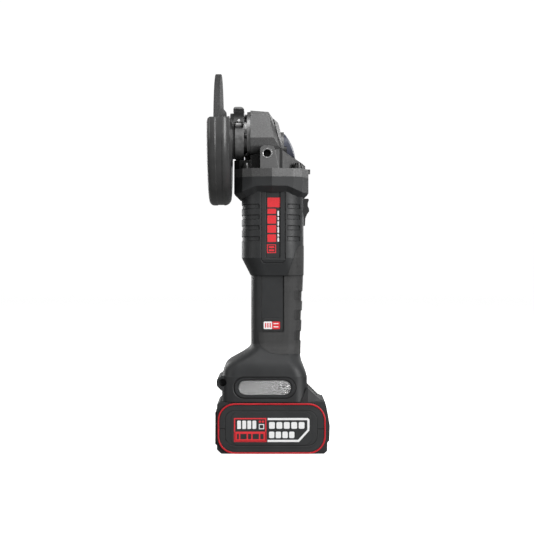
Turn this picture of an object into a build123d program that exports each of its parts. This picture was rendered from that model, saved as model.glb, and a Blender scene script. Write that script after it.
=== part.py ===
from build123d import *
import math
import os

# Cordless angle grinder, 125 mm, standing upright on its battery pack.
# Frame: origin where the motor axis meets the resting plane, +Z up along the motor axis,
# -X toward the grinding disc, +X toward the top of the tool, -Y toward the operator's left.
# All sizes are millimetres.

# ---------------------------------------------------------------- driving dimensions
spindle_z = 317.0          # height of the spindle axis
fit = 0.03                 # radial running clearance of a shaft in its bore
gap = 0.3                  # clearance between bodies that move past each other
wall = 2.6                 # moulded wall thickness

# gear train
gear_teeth = 38
pinion_teeth = 12
gear_module = 1.0
tooth_face = 5.5
pinion_shift = 0.35        # long and short addendum, so the small pinion isn't undercut
backlash = 0.2
pressure_angle = math.radians(20)

# disc, flanges and spindle
disc_r = 62.5
disc_bore_r = 11.15
disc_t = 6.0
disc_hub_r = 27.0
disc_rise = 4.6
disc_left_x = -57.2
spindle_end_x = -58.6
thread_r = 6.9
spindle_bearing_r = 7.5
gear_seat_r = 6.0
rear_journal_r = 4.0
flange_x0 = -46.6          # face of the inner flange that backs the disc
flange_x1 = -41.6
front_bearing_x0 = -37.5
front_bearing_x1 = -28.5
front_bearing_r = 16.0
rear_bearing_x0 = -2.6
rear_bearing_x1 = 4.4
rear_bearing_r = 6.0

# guard
guard_r = 70.1
guard_t = 2.1
guard_left_x = -63.5
guard_right_x = -41.5
guard_cut_z = spindle_z + 11.5
neck_r = 21.0
collar_r = 23.2
band_r = 24.8
band_x0 = -37.3
band_x1 = -28.7
hinge_angle = math.radians(72)      # place of the clamp lever's pivot, from +Z toward -Y
hinge_radius = 27.8
lever_pin_r = 1.2
lever_x0 = -38.6
lever_x1 = -28.7
knuckle_x0 = -36.3
knuckle_x1 = -31.1
rivet_angle = math.radians(60)
rivet_radius = 26.6
rivet_x = -33.4
gap_angle = math.radians(-52)       # place of the band's gap
bolt_x = -33.0
bolt_radius = 27.3

# gear head
head_left_x = -22.0
flange_z0 = 273.6
flange_z1 = 282.0
handle_hole_x = -5.3
handle_hole_z = 297.0
handle_thread_r = 3.4      # tap drill of the M8 thread
handle_thread_depth = 14.0
boss_y = 32.0
boss_x0 = -12.2
boss_x1 = 6.6
boss_top_z = 304.4
insert_r = 5.05
chamber_r = 19.9
cover_screw_r = 22.1       # distance of the bearing cover screws from the spindle axis
button_z = 305.5
button_r = 13.7

# motor housing and motor
body_x0 = -30.8
body_x1 = 31.4
body_half_y = 30.5
body_corner = 20.0
funnel_z = 193.5
collar_low_z = 258.6       # lower edge of the collar at the middle of each side
seam_z = 176.0
stator_r = 25.0
stator_z0 = 211.0
stator_z1 = 241.0
shaft_r = 4.0

# handle
grip_x0 = -21.3
grip_x1 = 30.7
grip_half_y = 23.0
grip_corner = 15.0
foot_z = 51.3
foot_x0 = -50.2
foot_x1 = 34.4
foot_half_y = 36.0
pad_t = 1.5

# battery pack
pack_half_y = 34.0
pack_split_z = 25.0
pack_top_z = 51.0
cover_x0 = -54.0
cover_x1 = 52.4
cover_top_z = 50.1
cover_corner = 17.0
cover_y = 37.5
cell_r = 9.1
cell_pitch = 19.2
cell_half_y = 32.4
tongue_half_y = 22.4
tongue_neck_y = 18.2
tongue_x0 = -32.0

# vents
vent_x = -7.6
vent_z = 65.3
vent_len = 59.8
vent_high = 19.6
vent_open_len = 51.8
vent_open_high = 14.1


# ---------------------------------------------------------------- helpers
def box(x0, x1, y0, y1, z0, z1):
    """Box between two corners."""
    size = (x1 - x0, y1 - y0, z1 - z0)
    return Pos((x0 + x1) / 2, (y0 + y1) / 2, (z0 + z1) / 2) * Box(*size)


def x_cyl(r, x0, x1, y=0.0, z=spindle_z):
    """Cylinder along X."""
    return Pos((x0 + x1) / 2, y, z) * Rot(0, 90, 0) * Cylinder(r, x1 - x0)


def y_cyl(r, y0, y1, x, z):
    """Cylinder along Y."""
    return Pos(x, (y0 + y1) / 2, z) * Rot(90, 0, 0) * Cylinder(r, y1 - y0)


def z_cyl(r, z0, z1, x=0.0, y=0.0):
    """Cylinder along Z."""
    return Pos(x, y, (z0 + z1) / 2) * Cylinder(r, z1 - z0)


def xz_prism(points, y0, y1):
    """Polygon in the XZ plane, extruded along Y."""
    return Pos(0, y1, 0) * extrude(Plane.XZ * Polygon(*points, align=None), amount=y1 - y0, dir=(0, -1, 0))


def yz_prism(points, x0, x1):
    """Polygon in the YZ plane, extruded along X."""
    return Pos(x0, 0, 0) * extrude(Plane.YZ * Polygon(*points, align=None), amount=x1 - x0, dir=(1, 0, 0))


def xy_prism(points, z0, z1, lean=0.0):
    """Polygon in the XY plane, extruded along Z, leaning along X by lean for each unit of height."""
    length = (z1 - z0) * math.hypot(1, lean)
    return Pos(0, 0, z0) * extrude(Polygon(*points, align=None), amount=length, dir=(lean, 0, 1))


def mirrored_y(points):
    """Closed outline from its -Y half, which is listed from -X to +X."""
    return points + [(x, -y) for x, y in reversed(points)]


def x_revolve(profile):
    """Solid of revolution about the spindle axis from (x, radius) points."""
    face = Plane.XZ * Polygon(*profile, align=None)
    return Pos(0, 0, spindle_z) * revolve(face, Axis.X)


def rounded_section(x0, x1, half_y, corner, z):
    """Rounded rectangle in a horizontal plane."""
    return Pos((x0 + x1) / 2, 0, z) * RectangleRounded(x1 - x0, 2 * half_y, corner)


def stadium_xz(length, height, x, z, y0, y1):
    """Slot-shaped prism along Y."""
    sketch = Plane.XZ * RectangleRounded(length, height, height / 2 - 0.01)
    return Pos(x, y1, z) * extrude(sketch, amount=y1 - y0)


def rounded_xz(x0, x1, z0, z1, corner, y0, y1):
    """Rounded rectangle in the XZ plane, extruded along Y."""
    sketch = Plane.XZ * RectangleRounded(x1 - x0, z1 - z0, corner)
    return Pos((x0 + x1) / 2, y1, (z0 + z1) / 2) * extrude(sketch, amount=y1 - y0)


def both_sides(shape):
    """The shape and its mirror image in the XZ plane."""
    return shape + mirror(shape, Plane.XZ)


def polar_x(shape, count, start=0.0):
    """Copies of a shape about the spindle axis."""
    axis_pos = Pos(0, 0, spindle_z)
    step = 360 / count
    return [axis_pos * Rot(start + i * step, 0, 0) * axis_pos.inverse() * shape for i in range(count)]


def polar_z(shape, count, start=0.0):
    """Copies of a shape about the motor axis."""
    return [Rot(0, 0, start + i * 360 / count) * shape for i in range(count)]


def half(shape, side):
    """The part of a shape on the -Y side (side -1) or the +Y side (side +1)."""
    reach = 200
    y0 = -reach if side < 0 else 0
    return shape & box(-reach, reach, y0, y0 + reach, -reach, 500)


def pan_screw(r_head, h_head, r_shank, length, socket_r):
    """Screw along +Z with the head on top, head underside at Z 0, hexagon socket in the head."""
    body = z_cyl(r_head, 0, h_head) + z_cyl(r_shank, -length, 0)
    socket = Pos(0, 0, h_head * 0.4) * extrude(RegularPolygon(socket_r, 6), amount=h_head)
    return body - socket


# ---------------------------------------------------------------- bevel gear pair
def tooth_outline(teeth, cone_angle, shift):
    """Half-width and height points of one tooth on the back cone at the large end."""
    virtual_r = gear_module * teeth / math.cos(cone_angle) / 2
    base_r = virtual_r * math.cos(pressure_angle)
    tip_r = virtual_r + gear_module * (1.0 + shift)
    root_r = virtual_r - gear_module * (1.2 - shift)
    thickness = gear_module * (math.pi / 2 + 2 * shift * math.tan(pressure_angle)) - backlash / 2
    pitch_inv = math.tan(pressure_angle) - pressure_angle
    low_r = max(base_r, root_r)
    points = []
    steps = 5
    for i in range(steps + 1):
        r = low_r + (tip_r - low_r) * i / steps
        angle = math.acos(min(1.0, base_r / r))
        half_angle = thickness / (2 * virtual_r) + pitch_inv - (math.tan(angle) - angle)
        points.append((r * math.sin(half_angle), r * math.cos(half_angle) - virtual_r))
    sink = 0.6
    base_half, base_height = points[0]
    points.insert(0, (base_half, min(root_r - virtual_r, base_height) - sink))
    return points


def bevel_tooth(teeth, cone_angle, shift, outer_cone, inner_cone):
    """One straight tooth along +Z, apex at the origin, tooth centred at +X."""
    outline = tooth_outline(teeth, cone_angle, shift)
    sections = []
    for distance in (inner_cone, outer_cone):
        scale_here = distance / outer_cone
        plane = Plane(
            origin=(distance * math.sin(cone_angle), 0, -distance * math.cos(cone_angle)),
            x_dir=(0, 1, 0),
            z_dir=(math.sin(cone_angle), 0, -math.cos(cone_angle)),
        )
        up = 1 if plane.y_dir.X > 0 else -1
        right = [(u * scale_here, up * v * scale_here) for u, v in outline]
        left = [(-u, v) for u, v in reversed(right)]
        sections.append(plane * Polygon(*(right + left), align=None))
    return loft(sections, ruled=True)


def bevel_blank(root_drop, cone_angle, outer_cone, inner_cone, back, bore_r, hub_r, hub_back):
    """Body of revolution under the teeth, about Z, apex at the origin, back toward -Z."""
    def cone_point(distance):
        drop = root_drop * distance / outer_cone
        r = distance * math.sin(cone_angle) - drop * math.cos(cone_angle)
        z = -distance * math.cos(cone_angle) - drop * math.sin(cone_angle)
        return r, z

    toe_r, toe_z = cone_point(inner_cone)
    heel_r, heel_z = cone_point(outer_cone)
    profile = [
        (bore_r, toe_z),
        (toe_r, toe_z),
        (heel_r, heel_z),
        (heel_r, heel_z - back),
        (hub_r, heel_z - back),
        (hub_r, heel_z - hub_back),
        (bore_r, heel_z - hub_back),
    ]
    return revolve(Plane.XZ * Polygon(*profile, align=None), Axis.Z)


gear_angle = math.atan2(gear_teeth, pinion_teeth)
pinion_angle = math.pi / 2 - gear_angle
cone_outer = gear_module * gear_teeth / 2 / math.sin(gear_angle)
cone_inner = cone_outer - tooth_face
lock_pin_radius = 9.6      # distance of the lock pin from the spindle axis
lock_pin_r = 2.4


def bevel_gear():
    """Large bevel gear on the spindle, teeth facing +X, with four lock holes in its web."""
    root_drop = gear_module * (1.2 + pinion_shift)
    blank = bevel_blank(root_drop, gear_angle, cone_outer, cone_inner, 2.2, gear_seat_r + fit, 12.4, 6.0)
    tooth = bevel_tooth(gear_teeth, gear_angle, -pinion_shift, cone_outer, cone_inner)
    gear = blank + polar_z(tooth, gear_teeth)
    hole = z_cyl(lock_pin_r + 0.3, -30, 0, x=lock_pin_radius)
    gear = gear - polar_z(hole, 4)
    return Pos(0, 0, spindle_z) * Rot(0, 90, 0) * gear


def pinion():
    """Small bevel gear on the motor shaft, one gap facing the large gear."""
    root_drop = gear_module * (1.2 - pinion_shift)
    blank = bevel_blank(root_drop, pinion_angle, cone_outer, cone_inner, 2.5, 2.5 + fit, 5.0, 6.5)
    tooth = bevel_tooth(pinion_teeth, pinion_angle, pinion_shift, cone_outer, cone_inner)
    gear = blank + polar_z(tooth, pinion_teeth, start=180 / pinion_teeth)
    return Pos(0, 0, spindle_z) * gear


# ---------------------------------------------------------------- spindle group
def spindle():
    """Output spindle: threaded end, bearing journal, gear seat and rear journal."""
    profile = [
        (spindle_end_x, 0),
        (spindle_end_x, thread_r - 0.8),
        (spindle_end_x + 0.8, thread_r),
        (flange_x1, thread_r),
        (flange_x1, spindle_bearing_r),
        (-25.0, spindle_bearing_r),
        (-25.0, gear_seat_r),
        (-3.6, gear_seat_r),
        (-3.6, rear_journal_r),
        (rear_bearing_x1 - 0.2, rear_journal_r),
        (rear_bearing_x1 - 0.2, 0),
    ]
    body = x_revolve(profile)
    flats = box(spindle_end_x - 1, spindle_end_x + 5, -10, 10, spindle_z + 6.0, spindle_z + 10)
    return body - flats - mirror(flats, Plane.XY.offset(spindle_z))


def gear_spacer():
    """Sleeve between the spindle shoulder and the large gear."""
    return x_cyl(9.0, -24.8, -13.6) - x_cyl(gear_seat_r + fit, -25, -13)


def inner_flange():
    """Backing flange with the spigot that centres the disc."""
    profile = [
        (flange_x0 - 3.0, thread_r + fit),
        (flange_x0 - 3.0, disc_bore_r - 0.1),
        (flange_x0, disc_bore_r - 0.1),
        (flange_x0, 19.5),
        (flange_x0 + 1.2, 20.5),
        (flange_x0 + 3.0, 20.5),
        (flange_x1, 13.0),
        (flange_x1, thread_r + fit),
    ]
    return x_revolve(profile)


def grinding_disc():
    """Depressed-centre wheel with a rounded step between hub and rim."""
    left = disc_left_x
    profile = [
        (left + disc_rise, disc_bore_r),
        (left + disc_rise, disc_hub_r - 6.0),
        (left, disc_hub_r),
        (left, disc_r - 0.5),
        (left + 0.5, disc_r),
        (left + disc_t - 0.5, disc_r),
        (left + disc_t, disc_r - 0.5),
        (left + disc_t, disc_hub_r + 3.0),
        (left + disc_t + disc_rise, disc_hub_r - 2.5),
        (left + disc_t + disc_rise, disc_bore_r),
    ]
    return x_revolve(profile)


def lock_nut():
    """Flanged clamping nut with four pin-spanner holes."""
    face_x = disc_left_x + disc_rise
    profile = [
        (face_x, thread_r + fit),
        (face_x, 18.5),
        (face_x - 1.0, 19.5),
        (face_x - 2.6, 19.5),
        (face_x - 3.2, 12.0),
        (face_x - 5.6, 11.5),
        (face_x - 5.6, thread_r + fit),
    ]
    nut = x_revolve(profile)
    hole = x_cyl(2.5, face_x - 6, face_x - 1.2, y=15.5)
    return nut - polar_x(hole, 4, start=45)


def ball_bearing_x(r_in, r_out, x0, x1, balls):
    """Deep-groove ball bearing on the spindle axis: two rings, balls and shields."""
    mid = (r_in + r_out) / 2
    ball_r = (r_out - r_in) * 0.24
    xm = (x0 + x1) / 2
    ring_t = (r_out - r_in) * 0.3
    groove = Pos(xm, 0, spindle_z) * Rot(0, 90, 0) * Torus(mid, ball_r * 1.02)
    inner = x_cyl(r_in + ring_t, x0, x1) - x_cyl(r_in, x0, x1) - groove
    outer = x_cyl(r_out, x0, x1) - x_cyl(r_out - ring_t, x0, x1) - groove
    ball = Pos(xm, 0, spindle_z + mid) * Sphere(ball_r)
    return [inner, outer] + polar_x(ball, balls)


def ball_bearing_z(r_in, r_out, z0, z1, balls):
    """Deep-groove ball bearing on the motor axis."""
    mid = (r_in + r_out) / 2
    ball_r = (r_out - r_in) * 0.24
    zm = (z0 + z1) / 2
    ring_t = (r_out - r_in) * 0.3
    groove = Pos(0, 0, zm) * Torus(mid, ball_r * 1.02)
    inner = z_cyl(r_in + ring_t, z0, z1) - z_cyl(r_in, z0, z1) - groove
    outer = z_cyl(r_out, z0, z1) - z_cyl(r_out - ring_t, z0, z1) - groove
    ball = Pos(mid, 0, zm) * Sphere(ball_r)
    return [inner, outer] + polar_z(ball, balls)


def spindle_front_bearing():
    return ball_bearing_x(spindle_bearing_r + fit, front_bearing_r, front_bearing_x0, front_bearing_x1, 9)


def spindle_rear_bearing():
    """Drawn-cup needle bearing: cup and needles."""
    x0 = rear_bearing_x0
    x1 = rear_bearing_x1
    cup = x_cyl(rear_bearing_r, x0, x1) - x_cyl(rear_bearing_r - 0.8, x0, x1)
    needle = x_cyl(0.55, x0 + 0.6, x1 - 0.6, y=rear_journal_r + fit + 0.56)
    return [cup] + polar_x(needle, 14)


def dust_seal():
    """Felt ring that keeps grit out of the front bearing."""
    return x_cyl(12.5, -39.6, front_bearing_x0 - 0.2) - x_cyl(spindle_bearing_r + 0.3, -40, front_bearing_x0)


# ---------------------------------------------------------------- gear head
flange_outline = mirrored_y([
    (-38.4, -15.0),
    (-29.8, -30.5),
    (-20.4, -34.7),
    (-0.5, -37.8),
    (21.0, -34.7),
    (29.4, -29.5),
    (36.2, -15.0),
])


def chamber_block():
    """Outer block of the gear chamber: barrel-shaped below, faceted above, with slanted rear flanks."""
    left = [(-11.0, 289.5), (-19.6, 298.0), (-24.6, 305.0), (-27.6, 313.0), (-20.4, 336.4), (-16.4, 341.2)]
    across = left + [(-y, z) for y, z in reversed(left)]
    side = [
        (head_left_x, 280), (head_left_x, 341.2), (-4.0, 339.7), (0.3, 333.4), (5.8, 328.6),
        (7.8, 320.9), (10.5, 300.0), (24.2, 290.3), (29.6, 288.2), (32.7, 286.7), (35.4, 282.5), (35.4, 280),
    ]
    plan = mirrored_y([(-23, -33), (9.5, -30), (24, -16), (33, -9)])
    lean = -0.417
    low_z = 270.0
    edge_x = -1.5 + lean * (low_z - 312.5)
    flank = mirrored_y([(-60, -33), (edge_x, -33), (edge_x + 8.5, -19), (edge_x + 60, -8)])
    block = yz_prism(across, -40, 40) & xz_prism(side, -40, 40)
    block = block & xy_prism(plan, low_z, 350) & xy_prism(flank, low_z, 350, lean)
    skin = block - Pos(0, 1.2, 0) * block
    groove = xz_prism([(-1.6, 336.0), (0.5, 336.0), (9.4, 300.0), (7.3, 300.0)], -40, -8)
    return block - both_sides(groove & skin)


def neck_block():
    """Lower neck between the gear chamber and the flange."""
    side = [(-22.0, 281), (-22.0, 296), (8, 302), (20, 294), (29.6, 288.2), (35.0, 284), (35.4, 281)]
    plan = mirrored_y([(-30, -16), (-22, -19.5), (-13, -19.5), (-11.5, -27), (10, -27), (33, -14)])
    return xz_prism(side, -30, 30) & xy_prism(plan, 270, 320)


def chin_block():
    """Block under the guard collar that carries the flange's -X end, hollowed round the band."""
    plan = mirrored_y([(-38.4, -13.0), (-33.0, -20.0), (-21.0, -22.0)])
    return xy_prism(plan, 281, 291.2) - x_cyl(band_r + 1.2, -45, head_left_x)


def handle_boss():
    """Raised pad with the side-handle thread, -Y side, rounded top corners and a sloped flank."""
    outline = [
        (boss_x0, flange_z1 - 1), (boss_x0, boss_top_z - 3), (boss_x0 + 1.2, boss_top_z - 0.9),
        (boss_x0 + 3.5, boss_top_z), (-1.4, boss_top_z), (0.9, boss_top_z - 0.9), (2.2, boss_top_z - 3),
        (boss_x1, flange_z1 - 1),
    ]
    return xz_prism(outline, -boss_y, -19)


def gear_housing():
    """Cast gear head: chamber, handle bosses, flange, button collar and bearing seats."""
    head = chamber_block() + neck_block() + both_sides(handle_boss())
    head = head + xy_prism(flange_outline, flange_z0, flange_z1)
    rim = x_cyl(button_r + 2.0, 0, 11.6, z=button_z)
    low_rim = x_cyl(button_r + 2.0, 11, 14.1, z=button_z) & box(10, 15, -20, 20, 285, 304.6)
    lug = box(30, 38.4, -3.2, 3.2, 278.8, 283.2)
    head = head + rim + low_rim + lug + chin_block()
    for x, y in head_screw_places():
        head = head + z_cyl(4.4, flange_z0, flange_z1 + 3.2, x, y)
    cuts = x_cyl(chamber_r, head_left_x - 1, -3.4)
    cuts = cuts + z_cyl(7.9, 287, 304.4)
    cuts = cuts + z_cyl(11.02, flange_z0 - 1, 288.6)
    cuts = cuts + x_cyl(rear_bearing_r + 0.02, -4, rear_bearing_x1 + 0.3)
    cuts = cuts + x_cyl(lock_pin_r + 0.06, -4, 12, z=spindle_z - lock_pin_radius)
    cuts = cuts + x_cyl(4.3, 7.0, 12, z=spindle_z - lock_pin_radius)
    upper_floor = box(7.0, 25, -20, 20, button_z - 1, button_z + 30)
    lower_floor = box(10.2, 25, -20, 20, button_z - 30, button_z)
    cuts = cuts + (x_cyl(button_r + gap, 6, 25, z=button_z) & (upper_floor + lower_floor))
    fan_space = z_cyl(24.5, flange_z0 - 1, 279.0) - z_cyl(13.6, flange_z0 - 1, 280)
    cuts = cuts + fan_space
    insert_end = -boss_y + handle_thread_depth
    insert_hole = y_cyl(insert_r + 0.01, -boss_y - 1, insert_end, handle_hole_x, handle_hole_z)
    cuts = cuts + both_sides(insert_hole)
    for y, z in cover_screw_places():
        cuts = cuts + x_cyl(1.62, head_left_x - 1, -8, y, z)
    for x, y in head_screw_places():
        cuts = cuts + z_cyl(1.85, flange_z0 - 1, 290, x, y)
    slot_z0 = 275.4
    slot_z1 = 278.4
    for y in (-7.5, 0, 7.5):
        cuts = cuts + box(-45, -22, y - 2.5, y + 2.5, slot_z0, slot_z1)
        cuts = cuts + box(22, 45, y - 2.5, y + 2.5, slot_z0 - 0.6, slot_z1 - 0.6)
    return head - cuts


def head_screw_places():
    """Corner screws that hold the gear head to the motor housing."""
    return [(-26.5, -25.5), (-26.5, 25.5), (25.5, -25.5), (25.5, 25.5)]


def gear_housing_screws():
    screw = pan_screw(3.3, 2.6, 1.8, 22, 1.6)
    return [Pos(x, y, flange_z1 + 3.2) * screw for x, y in head_screw_places()]


def bearing_cover():
    """Cover and neck that hold the front bearing and carry the guard collar."""
    lip_x = -40.0
    profile = [
        (lip_x, 13.0),
        (lip_x, neck_r - 0.6),
        (lip_x + 0.6, neck_r),
        (-28.2, neck_r),
        (-28.2, 18.8),
        (-25.4, 18.8),
        (-25.4, 24.5),
        (head_left_x, 24.9),
        (head_left_x, chamber_r - 0.05),
        (head_left_x + 2.0, chamber_r - 0.05),
        (head_left_x + 2.0, 13.0),
        (front_bearing_x1, 13.0),
        (front_bearing_x1, front_bearing_r + 0.01),
        (front_bearing_x0, front_bearing_r + 0.01),
        (front_bearing_x0, 13.0),
    ]
    cover = x_revolve(profile)
    for y, z in cover_screw_places():
        cover = cover - x_cyl(1.62, -30, head_left_x + 3, y, z)
    return cover


def cover_screw_places():
    """Six screws of the bearing cover, as (y, z)."""
    return [at_angle(cover_screw_r, math.radians(35 + 60 * i)) for i in range(6)]


def bearing_cover_screws():
    screw = Rot(0, -90, 0) * pan_screw(2.5, 2.4, 1.6, 14, 1.3)
    return [Pos(-25.4, y, z) * screw for y, z in cover_screw_places()]


def handle_thread_insert(side):
    """Steel thread insert for the side handle."""
    y0 = -boss_y - 0.3
    depth = handle_thread_depth
    ring = y_cyl(insert_r, y0, -boss_y + depth, handle_hole_x, handle_hole_z)
    ring = ring - y_cyl(handle_thread_r, y0 - 1, -boss_y + depth - 0.3, handle_hole_x, handle_hole_z)
    mouth = Pos(handle_hole_x, y0 + 0.3, handle_hole_z) * Rot(90, 0, 0) * Cone(handle_thread_r, 4.1, 0.7)
    ring = ring - mouth
    return ring if side < 0 else mirror(ring, Plane.XZ)


def lock_button():
    """Domed cap of the spindle lock, hollow behind, with a stem boss."""
    dome = Pos(-20.2, 0, 290.1) * Sphere(43.7)
    shell = x_cyl(button_r, 11.2, 30, z=button_z) & dome
    lower_trim = box(0, 14.4, -20, 20, button_z - 20, button_z)
    inner_dome = Pos(-20.2, 0, 290.1) * Sphere(41.7)
    hollow = x_cyl(button_r - 2.0, 11, 30, z=button_z) & inner_dome
    pin_z = spindle_z - lock_pin_radius
    stem = x_cyl(3.6, 13.0, 20.4, z=pin_z) & dome
    cap = shell - lower_trim - hollow + stem
    return cap - x_cyl(lock_pin_r + 0.01, 12, 18.0, z=pin_z)


def lock_pin():
    """Steel pin that drops into a web hole of the large gear."""
    pin_z = spindle_z - lock_pin_radius
    tip_x = -2.9
    return x_cyl(lock_pin_r, tip_x + 0.5, 17.9, z=pin_z) + Pos(tip_x + 0.25, 0, pin_z) * Rot(0, 90, 0) * Cone(
        lock_pin_r - 0.5, lock_pin_r, 0.5)


def coil_spring(r, wire, height, turns):
    """Helical spring along +Z from Z 0."""
    path = Helix(pitch=(height - 2 * wire) / turns, height=height - 2 * wire, radius=r)
    start = Plane(origin=path @ 0, z_dir=path % 0)
    return Pos(0, 0, wire) * sweep(start * Circle(wire), path=path)


def lock_spring():
    """Return spring around the lock pin."""
    pin_z = spindle_z - lock_pin_radius
    return Pos(7.3, 0, pin_z) * Rot(0, 90, 0) * coil_spring(3.3, 0.4, 5.5, 4)


# ---------------------------------------------------------------- motor
def rotor_shaft():
    """Motor shaft with the reduced neck for the pinion."""
    return z_cyl(3.0, 197.0, 208.0) + z_cyl(shaft_r, 208.0, 289.8) + z_cyl(2.5, 289.8, 302.4)


def rotor_core():
    """Laminated rotor with a sleeve of magnets."""
    return z_cyl(11.7, stator_z0, stator_z1) - z_cyl(shaft_r + 0.01, stator_z0 - 1, stator_z1 + 1)


def stator_core():
    """Six-tooth lamination stack."""
    ring = z_cyl(stator_r, stator_z0, stator_z1) - z_cyl(20.8, stator_z0 - 1, stator_z1 + 1)
    tooth = box(12.6, 21.5, -3.0, 3.0, stator_z0, stator_z1)
    shoe = (z_cyl(14.2, stator_z0, stator_z1) - z_cyl(12.4, stator_z0 - 1, stator_z1 + 1)) & box(
        5, 20, -5.2, 5.2, stator_z0, stator_z1)
    return ring + polar_z(tooth + shoe, 6)


def stator_windings():
    """One coil round each stator tooth."""
    outer = box(14.8, 19.8, -6.6, 6.6, stator_z0 - 5, stator_z1 + 5)
    inner = box(14, 21, -3.3, 3.3, stator_z0 - 0.4, stator_z1 + 0.4)
    coil = (outer - inner) & z_cyl(20.4, 200, 250)
    return polar_z(coil, 6)


def motor_bearings():
    """Upper bearing in the gear head and lower bearing in the end plate."""
    upper = ball_bearing_z(shaft_r + fit, 11.0, 281.5, 288.5, 8)
    lower = ball_bearing_z(3.0 + fit, 8.0, 198.0, 203.0, 7)
    return upper + lower


def motor_end_plate():
    """Moulded plate that holds the lower motor bearing, with cooling slots."""
    plate = z_cyl(stator_r, 196.0, 205.0) - z_cyl(22.0, 197.5, 206)
    hub = z_cyl(10.5, 196.0, 204.0)
    plate = plate + hub - z_cyl(8.01, 198.0, 206) - z_cyl(4.5, 195, 206)
    slot = box(12.5, 20.5, -3.4, 3.4, 195, 198)
    return plate - polar_z(slot, 8)


def cooling_fan():
    """Radial fan with curved blades on a back plate."""
    hub = z_cyl(8.0, 253.0, 265.0)
    plate = z_cyl(23.0, 263.4, 265.0)
    sweep_angle = 24
    blade = Rot(0, 0, sweep_angle) * box(8.5, 23.5, -0.7, 0.7, 254.5, 264.0)
    blade = Pos(0, -4.0, 0) * blade
    blades = polar_z(blade, 13)
    fan = (hub + plate + blades) & z_cyl(23.0, 250, 266)
    return fan - z_cyl(shaft_r + 0.01, 250, 270)


# ---------------------------------------------------------------- motor housing
def motor_body(inset):
    """Outer form of the motor section and its funnel, offset inward by inset."""
    x0 = body_x0 + inset
    x1 = body_x1 - inset
    half_y = body_half_y - inset
    corner = body_corner - inset
    main = extrude(rounded_section(x0, x1, half_y, corner, funnel_z), amount=266 - funnel_z)
    low_x0 = grip_x0 - 0.6 + inset
    low_x1 = grip_x1 + 0.5 - inset
    low = rounded_section(low_x0, low_x1, 25.4 - inset, grip_corner + 1.0 - inset, seam_z)
    top = rounded_section(x0, x1, half_y, corner, funnel_z)
    return main + loft([low, top], ruled=True)


def collar():
    """Faceted collar with a chevron lower edge, bevelled in to the body."""
    bevel = 6.0
    low_side = 252.2
    low_middle = collar_low_z
    chevron = [
        (-50, low_side), (-31, low_side), (-15, low_middle), (13.5, low_middle),
        (30, low_side), (50, low_side), (50, 280), (-50, 280),
    ]
    block = xy_prism(flange_outline, 245.0, flange_z0) & xz_prism(chevron, -60, 60)
    edges = []
    for edge in block.edges():
        a = edge @ 0
        b = edge @ 1
        upright = abs(a.X - b.X) < 1e-6 and abs(a.Y - b.Y) < 1e-6
        fold = abs(a.X - b.X) < 1e-6 and abs(a.Y + b.Y) < 1e-6 and abs(a.Y) > 20
        if a.Z < low_middle + 1 and b.Z < low_middle + 1 and not upright and not fold:
            edges.append(edge)
    return chamfer(edges, bevel)


def panel_recess():
    """Two-step recess for the side label, -Y side."""
    outer = rounded_xz(-11.0, 12.8, 188.6, 270.0, 4.0, -40, -29.9)
    inner = rounded_xz(-6.4, 7.7, 193.8, 270.0, 1.5, -40, -29.1)
    below_collar = box(-20, 20, -45, 0, 180, collar_low_z)
    return (outer + inner) & below_collar


def side_grooves():
    """Shallow horizontal grooves on both flanks of the motor body."""
    tools = []
    sleeve = box(-45, 45, -45, 45, 200, 250) - motor_body(0.7)
    for z in (244.5, 233.9, 223.3, 212.4):
        band = box(-45, -13.0, -45, 45, z - 2.2, z + 2.2) + box(14.8, 27.5, -45, 45, z - 2.2, z + 2.2)
        tools.append(band & sleeve)
    return tools


def switch_channel():
    """Guide for the slide switch in the +X wall: rod channel, slot and pocket for the thumb piece."""
    channel = box(24.0, 29.4, -3.8, 3.8, seam_z - 1, 257.5)
    slot = box(28.0, 40.0, -3.2, 3.2, 226.5, 257.5)
    seat = box(31.0, 40.0, -8.6, 8.6, 224.6, 262.4)
    return channel + slot + seat


def motor_housing():
    """One-piece motor housing with collar, label recesses, grooves and the switch channel."""
    shell = motor_body(0) + collar()
    inside = motor_body(wall) & box(-60, 60, -60, 60, seam_z - 1, 200)
    shell = shell - inside - z_cyl(stator_r + 0.02, 199.9, flange_z0 + 1)
    shell = shell - both_sides(panel_recess()) - side_grooves() - switch_channel()
    for x, y in head_screw_places():
        shell = shell - z_cyl(1.85, 262.5, flange_z0 + 1, x, y)
    shell = shell - upper_pad_zone(motor_body(-1), motor_body(pad_t))
    return shell


def upper_pad_zone(outer, inner):
    """Space of the rubber pad on the lower +X side of the motor body."""
    outline = [(14.6, seam_z - 0.5), (24.4, 203.0), (27.0, 205.6), (45, 206.4), (45, seam_z - 0.5)]
    return (outer - inner) & xz_prism(outline, -50, 50)


# ---------------------------------------------------------------- handle
def grip_body(inset):
    """Grip between the motor housing and the flare, offset inward by inset."""
    top = rounded_section(grip_x0 + inset, grip_x1 - inset, grip_half_y - inset, grip_corner - inset, seam_z)
    low_half_y = grip_half_y - 0.5 - inset
    low = rounded_section(grip_x0 - 0.1 + inset, 28.3 - inset, low_half_y, grip_corner - inset, 108.0)
    return loft([low, top], ruled=True)


def flare_body(inset):
    """Flare from the grip to the foot, a smooth loft through rounded sections."""
    stations = [
        (108.0, -21.4, 28.3, 22.5, 15.0),
        (103.0, -24.0, 28.2, 23.6, 15.0),
        (98.0, -31.0, 28.1, 26.4, 15.0),
        (93.0, -39.8, 28.6, 30.2, 15.0),
        (88.0, -46.2, 30.2, 33.4, 14.0),
        (82.0, -48.8, 32.6, 35.2, 13.0),
        (76.0, foot_x0, 34.0, foot_half_y, 12.0),
    ]
    sections = [
        rounded_section(x0 + inset, x1 - inset, half_y - inset, corner - inset, z)
        for z, x0, x1, half_y, corner in stations
    ]
    return loft(sections)


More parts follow.
